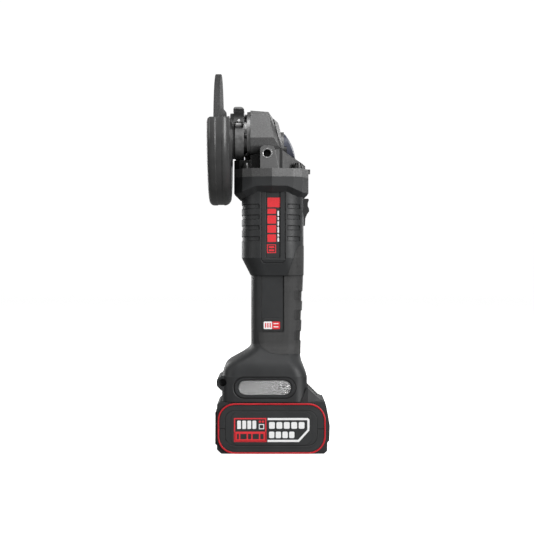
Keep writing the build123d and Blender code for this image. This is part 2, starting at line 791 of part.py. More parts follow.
def foot_body(inset):
    """Foot block above the battery pack."""
    bottom = foot_z + (1.0 if inset > 0 else 0)
    section = rounded_section(foot_x0 + inset, foot_x1 - inset, foot_half_y - inset, 12.0 - inset, bottom)
    return extrude(section, amount=76.0 - bottom)


def handle_body(inset):
    return grip_body(inset) + flare_body(inset) + foot_body(inset)


def foot_lug():
    """Screw lug across the -X side of the foot."""
    outline = [(-44, 77.4), (-50.6, 76.4), (-54.6, 73.6), (-55.4, 71.5), (-55.2, 67.0), (-53.6, 65.0),
               (-50.0, 61.6), (-44, 61)]
    return xz_prism(outline, -31.5, 31.5)


def rail_structure():
    """Battery rails, pocket walls and roof inside the foot."""
    lips = box(-49.0, 33.6, 17.0, 34.5, foot_z, 54.6)
    walls = box(-49.0, 33.6, 22.0, 25.6, foot_z, 66.6)
    roof = box(-49.0, 33.6, -1, 25.6, 64.0, 66.6)
    end = box(-49.0, -46.6, -1, 34.0, foot_z, 66.6)
    quarter = lips + walls + roof + end
    return both_sides(quarter) & (foot_body(0.5) + foot_body(0))


def pocket_space():
    """Space that the battery tongue slides through, open toward +X."""
    flange = box(-46.6, 45, -22.75, 22.75, 54.6, 64.0)
    neck = box(-46.6, 45, -18.5, 18.5, 40, 55)
    catch = box(25.0, 29.2, -7.6, 7.6, 63, 65.6)
    return flange + neck + catch


def shoulder_cut():
    """Sloped cut at the foot's +X end, where the pack's shoulder sits."""
    outline = [(27.3, 50), (27.3, 51.3), (32.7, 63.9), (35.0, 65.3), (45, 65.3), (45, 50)]
    return xz_prism(outline, -45, 45)


def grip_panel():
    """Recessed side panel of the grip, -Y side."""
    panel = rounded_xz(-10.8, 11.2, 119.8, 190.0, 3.2, -40, -22.0)
    return panel & box(-30, 30, -45, 0, 100, seam_z)


def pad_outline_cut():
    """Zone of the rubber grip pads, seen from the side."""
    outline = [
        (11.7, seam_z), (11.7, 119.3), (-11.0, 119.3), (-14.0, 119.3), (-14.0, 111.2), (-11.0, 105.1),
        (-7.0, 101.8), (-2.7, 99.4), (3.6, 97.8), (45, 97.8), (45, seam_z),
    ]
    return xz_prism(outline, -50, 50)


def pad_zone():
    """Layer that the grip pads fill, on the grip and on the +X side of the motor body."""
    outer = handle_body(-0.3)
    inner = handle_body(pad_t)
    grip_part = (outer - inner) & pad_outline_cut()
    body_part = upper_pad_zone(motor_body(-0.3), motor_body(pad_t))
    return grip_part + body_part


def finger_grooves():
    """Shallow finger recesses across the +X side of the pads."""
    tools = []
    for z in (155.0, 135.5, 115.0):
        tools.append(rounded_xz(24.0, 50.0, z - 5.2, z + 5.2, 3.0, -18, 18) - handle_body(0.55))
    return tools


def vent_hole():
    """Slot-shaped hole for the dust filter, -Y side."""
    return stadium_xz(vent_len, vent_high, vent_x, vent_z, -foot_half_y - 1, -foot_half_y + 4.0)


def handle_screw_places():
    """Places of the screws that join the handle halves: x, z and distance of the surface from Y 0."""
    return [(-49.3, 70.0, 31.5), (-15.0, 160.0, 20.0), (-15.0, 125.0, 20.0), (20.0, 87.0, 32.5)]


def handle_shells():
    """Hollow handle with foot, before it is split into two halves."""
    outer = handle_body(0) + foot_lug()
    shell = outer - handle_body(wall)
    for x, z, depth in handle_screw_places():
        shell = shell + (y_cyl(4.2, -depth, depth, x, z) & outer)
    spigot = loft([
        rounded_section(-19.0, 27.5, 20.5, 13, seam_z - 3),
        rounded_section(-19.0, 27.5, 20.5, 13, seam_z + 5),
    ], ruled=True)
    spigot_hole = loft([
        rounded_section(-17.4, 23.6, 18.5, 11, seam_z - 5),
        rounded_section(-17.4, 23.6, 18.5, 11, seam_z + 6),
    ], ruled=True)
    shell = shell + spigot + rail_structure() - spigot_hole - pocket_space() - shoulder_cut()
    return shell - both_sides(grip_panel()) - both_sides(vent_hole())


def handle_half(side, shells, pads):
    """One half of the split handle, with screw holes and the seat of its pad."""
    piece = half(shells, side) - pads
    for x, z, depth in handle_screw_places():
        piece = piece - y_cyl(1.75, -14.0, 40, x, z)
        if side > 0:
            piece = piece - y_cyl(3.9, depth - 5.5, 40, x, z)
        elif x < foot_x0 + 2:
            piece = piece - y_cyl(3.9, -40, -depth + 5.5, x, z)
    return piece


def handle_screws():
    """Screws from the +Y side that join the halves."""
    screws = []
    for x, z, depth in handle_screw_places():
        screws.append(Pos(x, depth - 5.5, z) * Rot(-90, 0, 0) * pan_screw(3.2, 2.2, 1.55, depth + 6, 1.3))
    return screws


# ---------------------------------------------------------------- dust filters
def filter_frame():
    """Stadium frame of a dust filter with two pull notches, -Y side."""
    y0 = -foot_half_y - 0.8
    frame = stadium_xz(vent_len - 0.6, vent_high - 0.6, vent_x, vent_z, y0, -foot_half_y + 3.4)
    flare_cut = stadium_xz(vent_open_len + 2.4, vent_open_high + 2.4, vent_x, vent_z, y0 - 1, y0 + 1.4)
    opening = stadium_xz(vent_open_len, vent_open_high, vent_x, vent_z, y0 - 1, -foot_half_y + 4)
    notch = box(-1.6, 1.6, y0 - 1, y0 + 1.0, vent_z + vent_high / 2 - 1.2, vent_z + vent_high / 2 + 1)
    frame = frame - flare_cut - opening
    return frame - Pos(-13.4, 0, 0) * notch - Pos(5.0, 0, 0) * notch


def filter_mesh():
    """Steel gauze held in the filter frame, -Y side."""
    y0 = -foot_half_y + 0.7
    return stadium_xz(vent_open_len - 0.02, vent_open_high - 0.02, vent_x, vent_z, y0, y0 + 0.5)


# ---------------------------------------------------------------- switch
def switch_slider():
    """Thumb piece on the +X side, with its stem through the housing slot."""
    outline = [
        (31.35, 226.4), (33.0, 226.4), (33.3, 233.5), (35.0, 237.4), (37.2, 240.6), (37.0, 243.4),
        (35.8, 245.6), (35.9, 249.0), (37.0, 252.2), (36.0, 253.4), (31.35, 253.4),
    ]
    thumb = xz_prism(outline, -8.2, 8.2)
    for z in (243.2, 245.6, 248.0, 250.4):
        thumb = thumb - box(36.2, 40, -6.5, 6.5, z - 0.45, z + 0.45)
    stem = box(28.9, 31.4, -2.9, 2.9, 228.0, 249.0)
    return thumb + stem


def switch_rod():
    """Flat push rod from the thumb piece down to the switch."""
    upper = box(26.4, 28.9, -2.9, 2.9, 183.6, 249.0)
    jog = box(20.6, 28.9, -2.9, 2.9, 183.6, 185.8)
    lower = box(20.6, 22.8, -2.9, 2.9, 166.6, 185.0)
    return upper + jog + lower + box(14.0, 22.8, -2.9, 2.9, 166.6, 168.6)


def switch_module():
    """Main switch block with its plunger slot and solder tags."""
    block = box(4.0, 23.0, -7.5, 7.5, 138.0, 166.2)
    tags = box(8, 9, -5, -3, 133, 138) + box(8, 9, 3, 5, 133, 138) + box(16, 17, -5, -3, 133, 138)
    return block + tags


# ---------------------------------------------------------------- electronics
def controller_board():
    """Motor controller: circuit board with six transistors and a capacitor."""
    board = box(-10.4, 18.0, 9.2, 10.8, 112.0, 170.0)
    parts = board
    for x in (-6, 2, 10):
        for z in (148, 162):
            parts = parts + box(x - 3, x + 3, 10.8, 13.4, z - 4, z + 4)
    return parts + z_cyl(4.5, 118.0, 134.0, 8, 15.2)


def motor_leads():
    """Three phase leads from the motor to the controller board."""
    return [z_cyl(1.1, 170.0, 196.0, x, 10.0) for x in (-7, 0, 7)]


def battery_leads():
    """Two supply leads from the controller board to the terminal block."""
    leads = []
    for y in (7.0, 13.0):
        path = FilletPolyline((-8, y, 111.9), (-8, y, 98), (-40, y, 84), (-40, y, 66.7), radius=7)
        start = Plane(origin=path @ 0, z_dir=path % 0)
        leads.append(sweep(start * Circle(1.3), path=path))
    return leads


def terminal_block():
    """Tool-side terminal carrier at the end of the battery pocket."""
    block = box(-46.5, -34.6, -20.0, 20.0, 54.9, 63.9)
    for y in terminal_places():
        block = block - box(-37.0, -34, y - 0.5, y + 0.5, 56.5, 62.5)
    return block


def terminal_places():
    return (-13.0, -4.5, 4.5, 13.0)


def tool_terminals():
    """Flat blades that enter the pack's contact slots."""
    return [box(-36.9, -23.0, y - 0.4, y + 0.4, 56.6, 62.4) for y in terminal_places()]


# ---------------------------------------------------------------- battery pack
pack_outline = [
    (-50.5, 0), (-54.9, 4.2), (-54.9, 48.3), (-52.0, pack_top_z), (52.1, pack_top_z), (53.3, 46.2),
    (54.7, 39.5), (56.8, 27.7), (56.3, 12.6), (54.3, 11.0), (54.0, 3.0), (51.0, 0),
]


def pack_body():
    """Outer form of the pack case between its side covers."""
    body = xz_prism(pack_outline, -pack_half_y, pack_half_y)
    corners = mirrored_y([(-60, -26.5), (-52, -36), (52, -36), (60, -26.5)])
    return body & xy_prism(corners, -5, 60)


def pack_cavity():
    return box(-50.4, 50.4, -32.9, 32.9, 2.6, 48.4)


def gauge_panel():
    """Raised panel on the -X end that carries the charge gauge."""
    outline = [(-54.0, 6.0), (-57.0, 8.0), (-57.0, 39.5), (-54.0, 41.5)]
    return xz_prism(outline, -24, 24)


def pack_lower_case():
    """Lower tray of the pack."""
    zone = box(-70, 70, -50, 50, -5, pack_split_z)
    tray = (pack_body() + gauge_panel()) & zone
    tray = tray - pack_cavity() - gauge_well()
    for x, y in pack_screw_places():
        tray = tray - z_cyl(2.1, -1, 6.0, x, y) - z_cyl(1.2, 5, 26, x, y)
    return tray


def pack_screw_places():
    return [(-52.2, -22.0), (-52.2, 22.0), (52.3, -22.0), (52.3, 22.0)]


def shoulder_outline():
    """Outline of the pack's shoulder, seen from the side."""
    return [
        (27.8, 50.5), (27.8, 51.5), (33.1, 63.6), (35.2, 64.6), (40.3, 59.7), (47.0, 53.2),
        (52.1, 51.0), (52.1, 50.5),
    ]


def pack_tongue():
    """Sliding tongue with undercut rails on top of the pack."""
    neck = box(tongue_x0, 34.0, -tongue_neck_y, tongue_neck_y, 50.5, 55.5)
    flange = box(tongue_x0, 30.0, -tongue_half_y, tongue_half_y, 54.9, 63.6)
    behind_foot = [(-40, 50), (-40, 63.6), (33.1, 63.6), (27.8, 51.5), (27.8, 50)]
    return neck + (flange & xz_prism(behind_foot, -30, 30))


def latch_space():
    """Pocket of the release latch and the slot for its hook."""
    pocket = box(35.9, 46.4, -13.9, 13.9, 46.8, 70)
    hook_slot = box(23.5, 36.5, -7.4, 7.4, 55.2, 70)
    return pocket + hook_slot


def pack_upper_case():
    """Upper half of the pack with tongue, shoulder and latch pocket."""
    zone = box(-70, 70, -50, 50, pack_split_z, 80)
    case = (pack_body() + gauge_panel()) & zone
    shoulder = xz_prism(shoulder_outline(), -33.0, 33.0)
    trim = xy_prism(mirrored_y([(20, -33.5), (34, -33.5), (55, -24)]), 40, 80)
    case = case - pack_cavity() + (shoulder & trim) + pack_tongue() + box(35, 47.4, -15, 15, 45.2, 51)
    case = case - latch_space() - gauge_well()
    for y in terminal_places():
        case = case - box(tongue_x0 - 1, -19.0, y - 1.9, y + 1.9, 55.6, 63.0)
    for x, y in pack_screw_places():
        case = case - z_cyl(1.2, 24, 40, x, y)
    return case


def gauge_well():
    """Seats of the gauge lens and button in the end panel."""
    lens_seat = box(-60, -55.4, -14.1, 2.1, 21.9, 28.1)
    button_bore = x_cyl(3.6, -60, -54.0, y=9.0, z=25.0)
    return lens_seat + button_bore


def gauge_lens():
    """Clear strip over the four charge lights."""
    return box(-57.2, -55.45, -14.0, 2.0, 22.0, 28.0)


def gauge_button():
    """Push button of the charge gauge, travels toward +X."""
    return x_cyl(3.3, -57.8, -55.0, y=9.0, z=25.0)


def pack_side_cover():
    """Side cover of the pack with a raised panel, -Y side."""
    y_face = -cover_y + 0.5
    y_base = -pack_half_y - 1.2
    base = rounded_xz(cover_x0, cover_x1, 0.4, cover_top_z, cover_corner, y_base, -pack_half_y - 0.02)
    rim = 1.9
    face = rounded_xz(
        cover_x0 + rim, cover_x1 - rim, 0.4 + rim, cover_top_z - rim, cover_corner - rim, y_face, y_base
    )
    panel = rounded_xz(-41.0, 38.4, 9.0, 41.5, 7.0, y_face - 0.6, y_face + 0.2)
    step = rounded_xz(-46.5, 44.8, 6.4, 44.4, 11.0, y_face - 0.3, y_face + 0.2)
    cover = base + face + panel + step
    seam_left = box(-53, -46.4, y_face - 1, y_face + 0.35, 24.6, 25.2)
    seam_right = box(44.7, 51, y_face - 1, y_face + 0.35, 24.6, 25.2)
    return cover - seam_left - seam_right


def pack_ring():
    """Coloured ring round the edge of the side cover, -Y side."""
    y0 = -cover_y
    y1 = -pack_half_y - 1.22
    ring = rounded_xz(cover_x0, cover_x1, 0.4, cover_top_z, cover_corner, y0, y1)
    return ring - rounded_xz(cover_x0 + 1.88, cover_x1 - 1.88, 2.28, cover_top_z - 1.88, cover_corner - 1.88,
                             y0 - 1, y1 + 1)


def cell_places():
    """Centres of the ten cells, five along X in two rows."""
    return [((i - 2) * cell_pitch, z) for i in range(5) for z in (12.8, 12.8 + cell_pitch)]


def battery_cells():
    """Ten cylindrical cells with raised positive caps."""
    cells = []
    for x, z in cell_places():
        cell = y_cyl(cell_r, -cell_half_y + 0.8, cell_half_y - 0.8, x, z)
        cells.append(cell + y_cyl(4.2, cell_half_y - 0.9, cell_half_y - 0.2, x, z))
    return cells


def cell_holder():
    """Moulded carrier plate round the cell ends, -Y side."""
    plate = box(-50.0, 50.0, -31.2, -24.0, 3.0, 42.4)
    for x, z in cell_places():
        plate = plate - y_cyl(cell_r + 0.05, -40, -20, x, z)
    return plate


def pack_board():
    """Battery management board above the cells."""
    board = box(-40, 33, -26, 26, 43.2, 44.8)
    return board + box(-30, -20, -8, 8, 44.8, 46.6) + box(0, 8, -12, -4, 44.8, 46.8)


def pack_contacts():
    """Forked spring contacts inside the tongue's slots."""
    contacts = []
    for y in terminal_places():
        for side in (-1, 1):
            inner = y + side * 0.75
            outer = y + side * 1.5
            contacts.append(box(-30.5, -19.5, min(inner, outer), max(inner, outer), 55.65, 62.6))
    return contacts


def pack_screws():
    screw = pan_screw(1.9, 1.6, 1.1, 17, 0.9)
    return [Pos(x, y, 5.9) * Rot(180, 0, 0) * screw for x, y in pack_screw_places()]




def pack_latch():
    """Release button on the sloped shoulder with the hook that holds the pack in the foot."""
    body = xz_prism([
        (36.2, 51.2), (36.2, 64.0), (40.3, 60.1), (46.1, 54.4), (46.1, 51.2),
    ], -13.5, 13.5)
    ribs = []
    for i in range(4):
        x = 37.6 + i * 2.2
        z = 64.0 - (x - 36.2) * 0.97
        ribs.append(box(x, x + 0.9, -11.5, 11.5, z - 2.0, z + 0.35))
    nose = box(24.0, 36.3, -7.0, 7.0, 59.0, 62.4)
    tooth = xz_prism([(25.4, 62.0), (25.9, 63.7), (28.7, 63.7), (28.9, 62.0)], -7.0, 7.0)
    spring_seat = z_cyl(2.2, 49.9, 51.3, 41.0, 0)
    return body + ribs + nose + tooth + spring_seat


def latch_spring():
    return Pos(41.0, 0, 46.85) * coil_spring(3.2, 0.4, 4.3, 3)


# ---------------------------------------------------------------- guard
def guard_shell():
    """Guard: plate, rolled lip and collar; the open side faces up at rest."""
    left = guard_left_x
    right = guard_right_x
    t = guard_t
    r = guard_r
    shoulder = [(right - 7 + 7 * math.sin(a), r - 7 + 7 * math.cos(a)) for a in quarter_angles(6)]
    lip_r = 4.8
    lip = []
    for a in quarter_angles(5)[1:]:
        lip.append((left + lip_r - lip_r * math.cos(a), r - lip_r + lip_r * math.sin(a)))
    inner_r = 7 - t
    inside = [(right - 7 + inner_r * math.sin(a), r - 7 + inner_r * math.cos(a)) for a in quarter_angles(6)]
    profile = [
        (left, r - 6.4),
        (left, r - lip_r),
    ] + lip + [
        (left + 8.0, r),
        (left + 8.6, r - 0.5),
        (right - 7.4, r - 0.5),
    ] + shoulder + [
        (right, 32.0),
        (right + 1.2, 29.0),
        (right + 1.2, neck_r + gap),
        (right - t + 1.2, neck_r + gap),
        (right - t + 1.2, 30.0),
        (right - t, 32.5),
    ] + inside[::-1] + [
        (left + 6.0, r - t),
        (left + 4.3, r - 3.4),
        (left + 3.6, r - 6.4),
    ]
    drum = x_revolve(profile) & box(-80, 0, -100, 100, 200, guard_cut_z)
    corner_r = 4.5
    corner = box(left - 1, left + corner_r, -80, 80, guard_cut_z - corner_r, guard_cut_z + 1)
    drum = drum - (corner - y_cyl(corner_r, -80, 80, left + corner_r, guard_cut_z - corner_r))
    collar_tube = x_cyl(collar_r, right - 0.9, band_x1 + 0.1) - x_cyl(neck_r + gap, right - 2, 0)
    return drum + collar_tube


def quarter_angles(steps):
    """Angles from 0 to 90 degrees."""
    return [math.pi / 2 * i / steps for i in range(steps + 1)]


def at_angle(radius, angle):
    """Point at a radius from the spindle axis, angle from +Z toward -Y, as (y, z)."""
    return -radius * math.sin(angle), spindle_z + radius * math.cos(angle)


def turned(shape, angle):
    """Shape drawn about the +Z direction of the spindle axis, turned toward -Y."""
    return Pos(0, 0, spindle_z) * Rot(math.degrees(angle), 0, 0) * shape


def clamp_band():
    """Steel band round the guard collar, with the lever's knuckle and the gap's two lugs."""
    tube_bore = x_cyl(collar_r + 0.02, -45, -20)
    band = x_cyl(band_r, band_x0, band_x1)
    y, z = at_angle(hinge_radius, hinge_angle)
    knuckle = x_cyl(2.1, knuckle_x0, knuckle_x1, y, z)
    web = turned(box(knuckle_x0, knuckle_x1, -1.9, 1.9, collar_r, hinge_radius), hinge_angle)
    lug = turned(box(band_x0, band_x1, -5.4, 5.4, 20.0, 30.0), gap_angle)
    slit = turned(box(-40, -25, -1.3, 1.3, 15, 35), gap_angle)
    bolt_hole = turned(y_cyl(1.55, -10, 10, bolt_x, bolt_radius), gap_angle)
    band = band + knuckle + web + lug - tube_bore - slit
    return band - bolt_hole - x_cyl(lever_pin_r + fit, -45, -20, y, z)


def lever_pin():
    y, z = at_angle(hinge_radius, hinge_angle)
    return x_cyl(lever_pin_r, lever_x0, lever_x1, y, z)


def clamp_bolt():
    """Adjusting bolt and nut across the band's gap."""
    bolt = y_cyl(1.5, -8.0, 8.2, bolt_x, bolt_radius) + y_cyl(2.7, 5.42, 7.6, bolt_x, bolt_radius)
    nut = Plane.XZ * RegularPolygon(2.9, 6)
    nut = Pos(bolt_x, -5.42, bolt_radius) * extrude(nut, amount=2.4)
    return turned(bolt + nut, gap_angle)


def guard_lever():
    """Quick-clamp lever: arched over the band, two cheeks on the pivot and a raised thumb end."""
    y, z = at_angle(hinge_radius, hinge_angle)
    arch = x_cyl(27.9, lever_x0, lever_x1) - x_cyl(25.5, -45, -20)
    far = 60
    wedge = yz_prism([
        at_angle(0.1, 0), at_angle(far, hinge_angle), at_angle(far, math.radians(20)),
        at_angle(far, math.radians(-20)), at_angle(far, math.radians(-32)),
    ], -45, -20)
    cheeks = x_cyl(2.5, lever_x0, knuckle_x0 - gap, y, z) + x_cyl(2.5, knuckle_x1 + gap, lever_x1, y, z)
    relief = x_cyl(3.4, knuckle_x0 - gap, knuckle_x1 + gap, y, z)
    lever = (arch & wedge) + thumb_cap() + cheeks - relief
    rivet_y, rivet_z = at_angle(rivet_radius, rivet_angle)
    lever = lever - y_cyl(1.3, -40, rivet_y + 0.9, rivet_x, rivet_z)
    return lever - x_cyl(lever_pin_r + 0.05, -45, -20, y, z)


def thumb_cap():
    """Rounded thumb block at the crown of the lever."""
    outline = [
        (-39.2, 339.5), (-39.2, 343.4), (-38.6, 344.7), (-37.4, 345.4), (-31.4, 345.4), (-29.4, 344.5),
        (-28.4, 342.5), (-28.4, 339.5),
    ]
    return xz_prism(outline, -13.5, 7.0) - x_cyl(25.5, -45, -20)


def lever_rivet():
    """Bright rivet in the lever's flank."""
    rivet_y, rivet_z = at_angle(rivet_radius, rivet_angle)
    return y_cyl(1.28, rivet_y - 2.3, rivet_y + 0.85, rivet_x, rivet_z)


# ---------------------------------------------------------------- assembly
def write_parts():
    """Build every node and write it to its own file."""
    os.makedirs("parts", exist_ok=True)
    shells = handle_shells()
    pads = pad_zone()
    pads_grooved = pads - finger_grooves()
    nodes = {
        "gear_housing": gear_housing(),
        "gear_housing_screws": gear_housing_screws(),
        "bearing_cover": bearing_cover(),
        "bearing_cover_screws": bearing_cover_screws(),
        "handle_thread_inserts": [handle_thread_insert(-1), handle_thread_insert(1)],
        "spindle_front_bearing": spindle_front_bearing(),
        "spindle_rear_bearing": spindle_rear_bearing(),
        "spindle_dust_seal": dust_seal(),
        "motor_housing": motor_housing(),
        "stator_core": stator_core(),
        "stator_windings": stator_windings(),
        "motor_bearings": motor_bearings(),
        "motor_end_plate": motor_end_plate(),
        "left_handle_shell": handle_half(-1, shells, pads),
        "right_handle_shell": handle_half(1, shells, pads),
        "left_grip_pad": half(pads_grooved, -1),
        "right_grip_pad": half(pads_grooved, 1),
        "handle_screws": handle_screws(),
        "switch_module": switch_module(),
        "controller_board": controller_board(),
        "internal_leads": motor_leads() + battery_leads(),
        "terminal_block": terminal_block(),
        "tool_terminals": tool_terminals(),
        "spindle": spindle(),
        "bevel_gear": bevel_gear(),
        "gear_spacer": gear_spacer(),
        "inner_flange": inner_flange(),
        "grinding_disc": grinding_disc(),
        "lock_nut": lock_nut(),
        "rotor_shaft": rotor_shaft(),
        "rotor_core": rotor_core(),
        "cooling_fan": cooling_fan(),
        "bevel_pinion": pinion(),
        "guard_shell": guard_shell(),
        "guard_clamp_band": clamp_band(),
        "guard_clamp_fasteners": [clamp_bolt(), lever_pin()],
        "guard_lever": guard_lever(),
        "lever_rivet": lever_rivet(),
        "lock_button": lock_button(),
        "lock_pin": lock_pin(),
        "lock_spring": lock_spring(),
        "switch_slider": switch_slider(),
        "switch_rod": switch_rod(),
        "left_filter_frame": filter_frame(),
        "left_filter_mesh": filter_mesh(),
        "right_filter_frame": mirror(filter_frame(), Plane.XZ),
        "right_filter_mesh": mirror(filter_mesh(), Plane.XZ),
        "pack_lower_case": pack_lower_case(),
        "pack_upper_case": pack_upper_case(),
        "pack_side_covers": [pack_side_cover(), mirror(pack_side_cover(), Plane.XZ)],
        "pack_rings": [pack_ring(), mirror(pack_ring(), Plane.XZ)],
        "battery_cells": battery_cells(),
        "cell_holders": [cell_holder(), mirror(cell_holder(), Plane.XZ)],
        "pack_board": pack_board(),
        "pack_contacts": pack_contacts(),
        "pack_screws": pack_screws(),
        "gauge_lens": gauge_lens(),
        "gauge_button": gauge_button(),
        "pack_latch": pack_latch(),
        "latch_spring": latch_spring(),
    }
    for name, shape in nodes.items():
        solid = Compound(children=list(shape)) if isinstance(shape, (list, tuple)) else shape
        export_step(solid, f"parts/{name}.step")
    print(len(nodes), "nodes")


write_parts()
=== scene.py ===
import math

import bmesh
import bpy
from mathutils import Matrix, Vector


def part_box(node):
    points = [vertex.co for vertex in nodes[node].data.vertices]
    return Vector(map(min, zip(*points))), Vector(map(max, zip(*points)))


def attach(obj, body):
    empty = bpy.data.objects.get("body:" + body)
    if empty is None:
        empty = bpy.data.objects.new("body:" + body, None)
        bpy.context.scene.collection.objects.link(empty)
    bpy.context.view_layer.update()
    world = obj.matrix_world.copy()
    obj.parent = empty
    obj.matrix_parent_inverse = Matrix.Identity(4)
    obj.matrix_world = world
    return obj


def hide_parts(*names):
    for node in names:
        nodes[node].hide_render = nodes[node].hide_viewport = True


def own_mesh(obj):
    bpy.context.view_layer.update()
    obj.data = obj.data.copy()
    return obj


# The looks of a cordless angle grinder that stands on its battery pack.
# Frame: metres, +Z up, -X toward the wheel, -Y toward the camera.

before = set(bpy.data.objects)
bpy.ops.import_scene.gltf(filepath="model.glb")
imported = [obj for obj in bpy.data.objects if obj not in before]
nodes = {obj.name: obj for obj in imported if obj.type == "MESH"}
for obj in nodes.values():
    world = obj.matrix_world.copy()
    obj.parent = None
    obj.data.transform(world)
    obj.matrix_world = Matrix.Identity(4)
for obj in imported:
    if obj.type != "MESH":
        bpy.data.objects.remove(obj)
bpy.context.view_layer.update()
MM = 0.001

SPINDLE_Z = 0.317  # height of the spindle axis


# ---------------------------------------------------------------- node helpers
class Tree:
    """Short names for building one material's nodes."""

    def __init__(self, name):
        self.material = bpy.data.materials.new(name)
        self.material.use_nodes = True
        self.tree = self.material.node_tree
        self.tree.nodes.clear()
        self.output = self.tree.nodes.new("ShaderNodeOutputMaterial")
        self.shader = self.tree.nodes.new("ShaderNodeBsdfPrincipled")
        self.link(self.shader.outputs[0], self.output.inputs[0])
        self.coords = self.tree.nodes.new("ShaderNodeTexCoord")
        self.place = self.coords.outputs["Object"]

    def link(self, a, b):
        self.tree.links.new(a, b)

    def feed(self, socket, value):
        """A link for a socket, a plain value for a number or colour."""
        if hasattr(value, "is_output"):
            self.link(value, socket)
        else:
            socket.default_value = value

    def noise(self, scale, detail=3.0, roughness=0.55, vector=None, distortion=0.0):
        node = self.tree.nodes.new("ShaderNodeTexNoise")
        self.link(vector or self.place, node.inputs["Vector"])
        node.inputs["Scale"].default_value = scale
        node.inputs["Detail"].default_value = detail
        node.inputs["Roughness"].default_value = roughness
        node.inputs["Distortion"].default_value = distortion
        return node.outputs["Fac"]

    def cells(self, scale, feature="F1", randomness=1.0):
        node = self.tree.nodes.new("ShaderNodeTexVoronoi")
        node.feature = feature
        self.link(self.place, node.inputs["Vector"])
        node.inputs["Scale"].default_value = scale
        node.inputs["Randomness"].default_value = randomness
        return node.outputs["Distance"]

    def scaled(self, x, y, z):
        """Object coordinates stretched along the axes."""
        node = self.tree.nodes.new("ShaderNodeMapping")
        self.link(self.place, node.inputs["Vector"])
        node.inputs["Scale"].default_value = (x, y, z)
        return node.outputs["Vector"]

    def split(self, vector=None):
        node = self.tree.nodes.new("ShaderNodeSeparateXYZ")
        self.link(vector or self.place, node.inputs[0])
        return node.outputs

    def math(self, operation, a, b=0.0):
        node = self.tree.nodes.new("ShaderNodeMath")
        node.operation = operation
        self.feed(node.inputs[0], a)
        self.feed(node.inputs[1], b)
        return node.outputs[0]

    def times(self, a, b):
        return self.math("MULTIPLY", a, b)

    def plus(self, a, b):
        return self.math("ADD", a, b)

    def minus(self, a, b):
        return self.math("SUBTRACT", a, b)

    def length(self, a, b):
        """Length of the flat vector (a, b)."""
        return self.math("SQRT", self.plus(self.times(a, a), self.times(b, b)))

    def ripple(self, value, pitch):
        """0 at every multiple of the pitch, 1 halfway between."""
        return self.math("ABSOLUTE", self.math("SINE", self.times(value, math.pi / pitch)))

    def range(self, value, low, high, to_low=0.0, to_high=1.0):
        node = self.tree.nodes.new("ShaderNodeMapRange")
        node.clamp = True
        self.feed(node.inputs["Value"], value)
        node.inputs["From Min"].default_value = low
        node.inputs["From Max"].default_value = high
        node.inputs["To Min"].default_value = to_low
        node.inputs["To Max"].default_value = to_high
        return node.outputs["Result"]

    def mix(self, factor, a, b):
        node = self.tree.nodes.new("ShaderNodeMix")
        node.data_type = "RGBA"
        self.feed(node.inputs["Factor"], factor)
        self.feed(node.inputs[6], a)
        self.feed(node.inputs[7], b)
        return node.outputs[2]

    def bump(self, height, strength, distance, normal=None):
        node = self.tree.nodes.new("ShaderNodeBump")
        node.inputs["Strength"].default_value = strength
        node.inputs["Distance"].default_value = distance
        self.link(height, node.inputs["Height"])
        if normal is not None:
            self.link(normal, node.inputs["Normal"])
        return node.outputs["Normal"]

    def rounded(self, radius):
        """Edges rounded in the shading normal."""
        node = self.tree.nodes.new("ShaderNodeBevel")
        node.samples = 4
        node.inputs["Radius"].default_value = radius
        return node.outputs["Normal"]

    def worn_edge(self, radius):
        """1 near convex edges, 0 elsewhere."""
        soft = self.rounded(radius)
        geometry = self.tree.nodes.new("ShaderNodeNewGeometry")
        dot = self.tree.nodes.new("ShaderNodeVectorMath")
        dot.operation = "DOT_PRODUCT"
        self.link(soft, dot.inputs[0])
        self.link(geometry.outputs["True Normal"], dot.inputs[1])
        return self.range(dot.outputs["Value"], 0.97, 0.75)

    def box_distance(self, x0, x1, z0, z1, corner):
        """Distance in XZ from a rounded rectangle's line, negative inside; sizes in millimetres."""
        x, _, z = self.split()[:3]
        centre = ((x0 + x1) / 2 * MM, (z0 + z1) / 2 * MM)
        half = ((x1 - x0) / 2 * MM - corner * MM, (z1 - z0) / 2 * MM - corner * MM)
        across = self.minus(self.math("ABSOLUTE", self.minus(x, centre[0])), half[0])
        up = self.minus(self.math("ABSOLUTE", self.minus(z, centre[1])), half[1])
        out_x = self.math("MAXIMUM", across, 0.0)
        out_z = self.math("MAXIMUM", up, 0.0)
        out = self.length(out_x, out_z)
        inside = self.math("MINIMUM", self.math("MAXIMUM", across, up), 0.0)
        return self.minus(self.plus(out, inside), corner * MM)

    def seam_and_groove_lines(self, boxes, below=None):
        """1 along the lines of rounded rectangles (x0, x1, z0, z1, corner, width, strength), 0 elsewhere."""
        total = None
        for x0, x1, z0, z1, corner, width, strength in boxes:
            distance = self.math("ABSOLUTE", self.box_distance(x0, x1, z0, z1, corner))
            line = self.range(distance, width * MM, width * MM * 0.4, 0.0, strength)
            total = line if total is None else self.math("MAXIMUM", total, line)
        if below is not None:
            total = self.times(total, self.range(self.split()[2], below * MM, below * MM - 0.0003))
        return total

    def set(self, **values):
        for key, value in values.items():
            self.feed(self.shader.inputs[key.replace("_", " ")], value)
        return self.material


def grey(level, warm=0.0):
    return (level * (1 + warm), level, level * (1 - warm), 1)


def shade(colour, share):
    """A colour times a share, at full opacity."""
    return tuple(c * share for c in colour[:3]) + (1,)


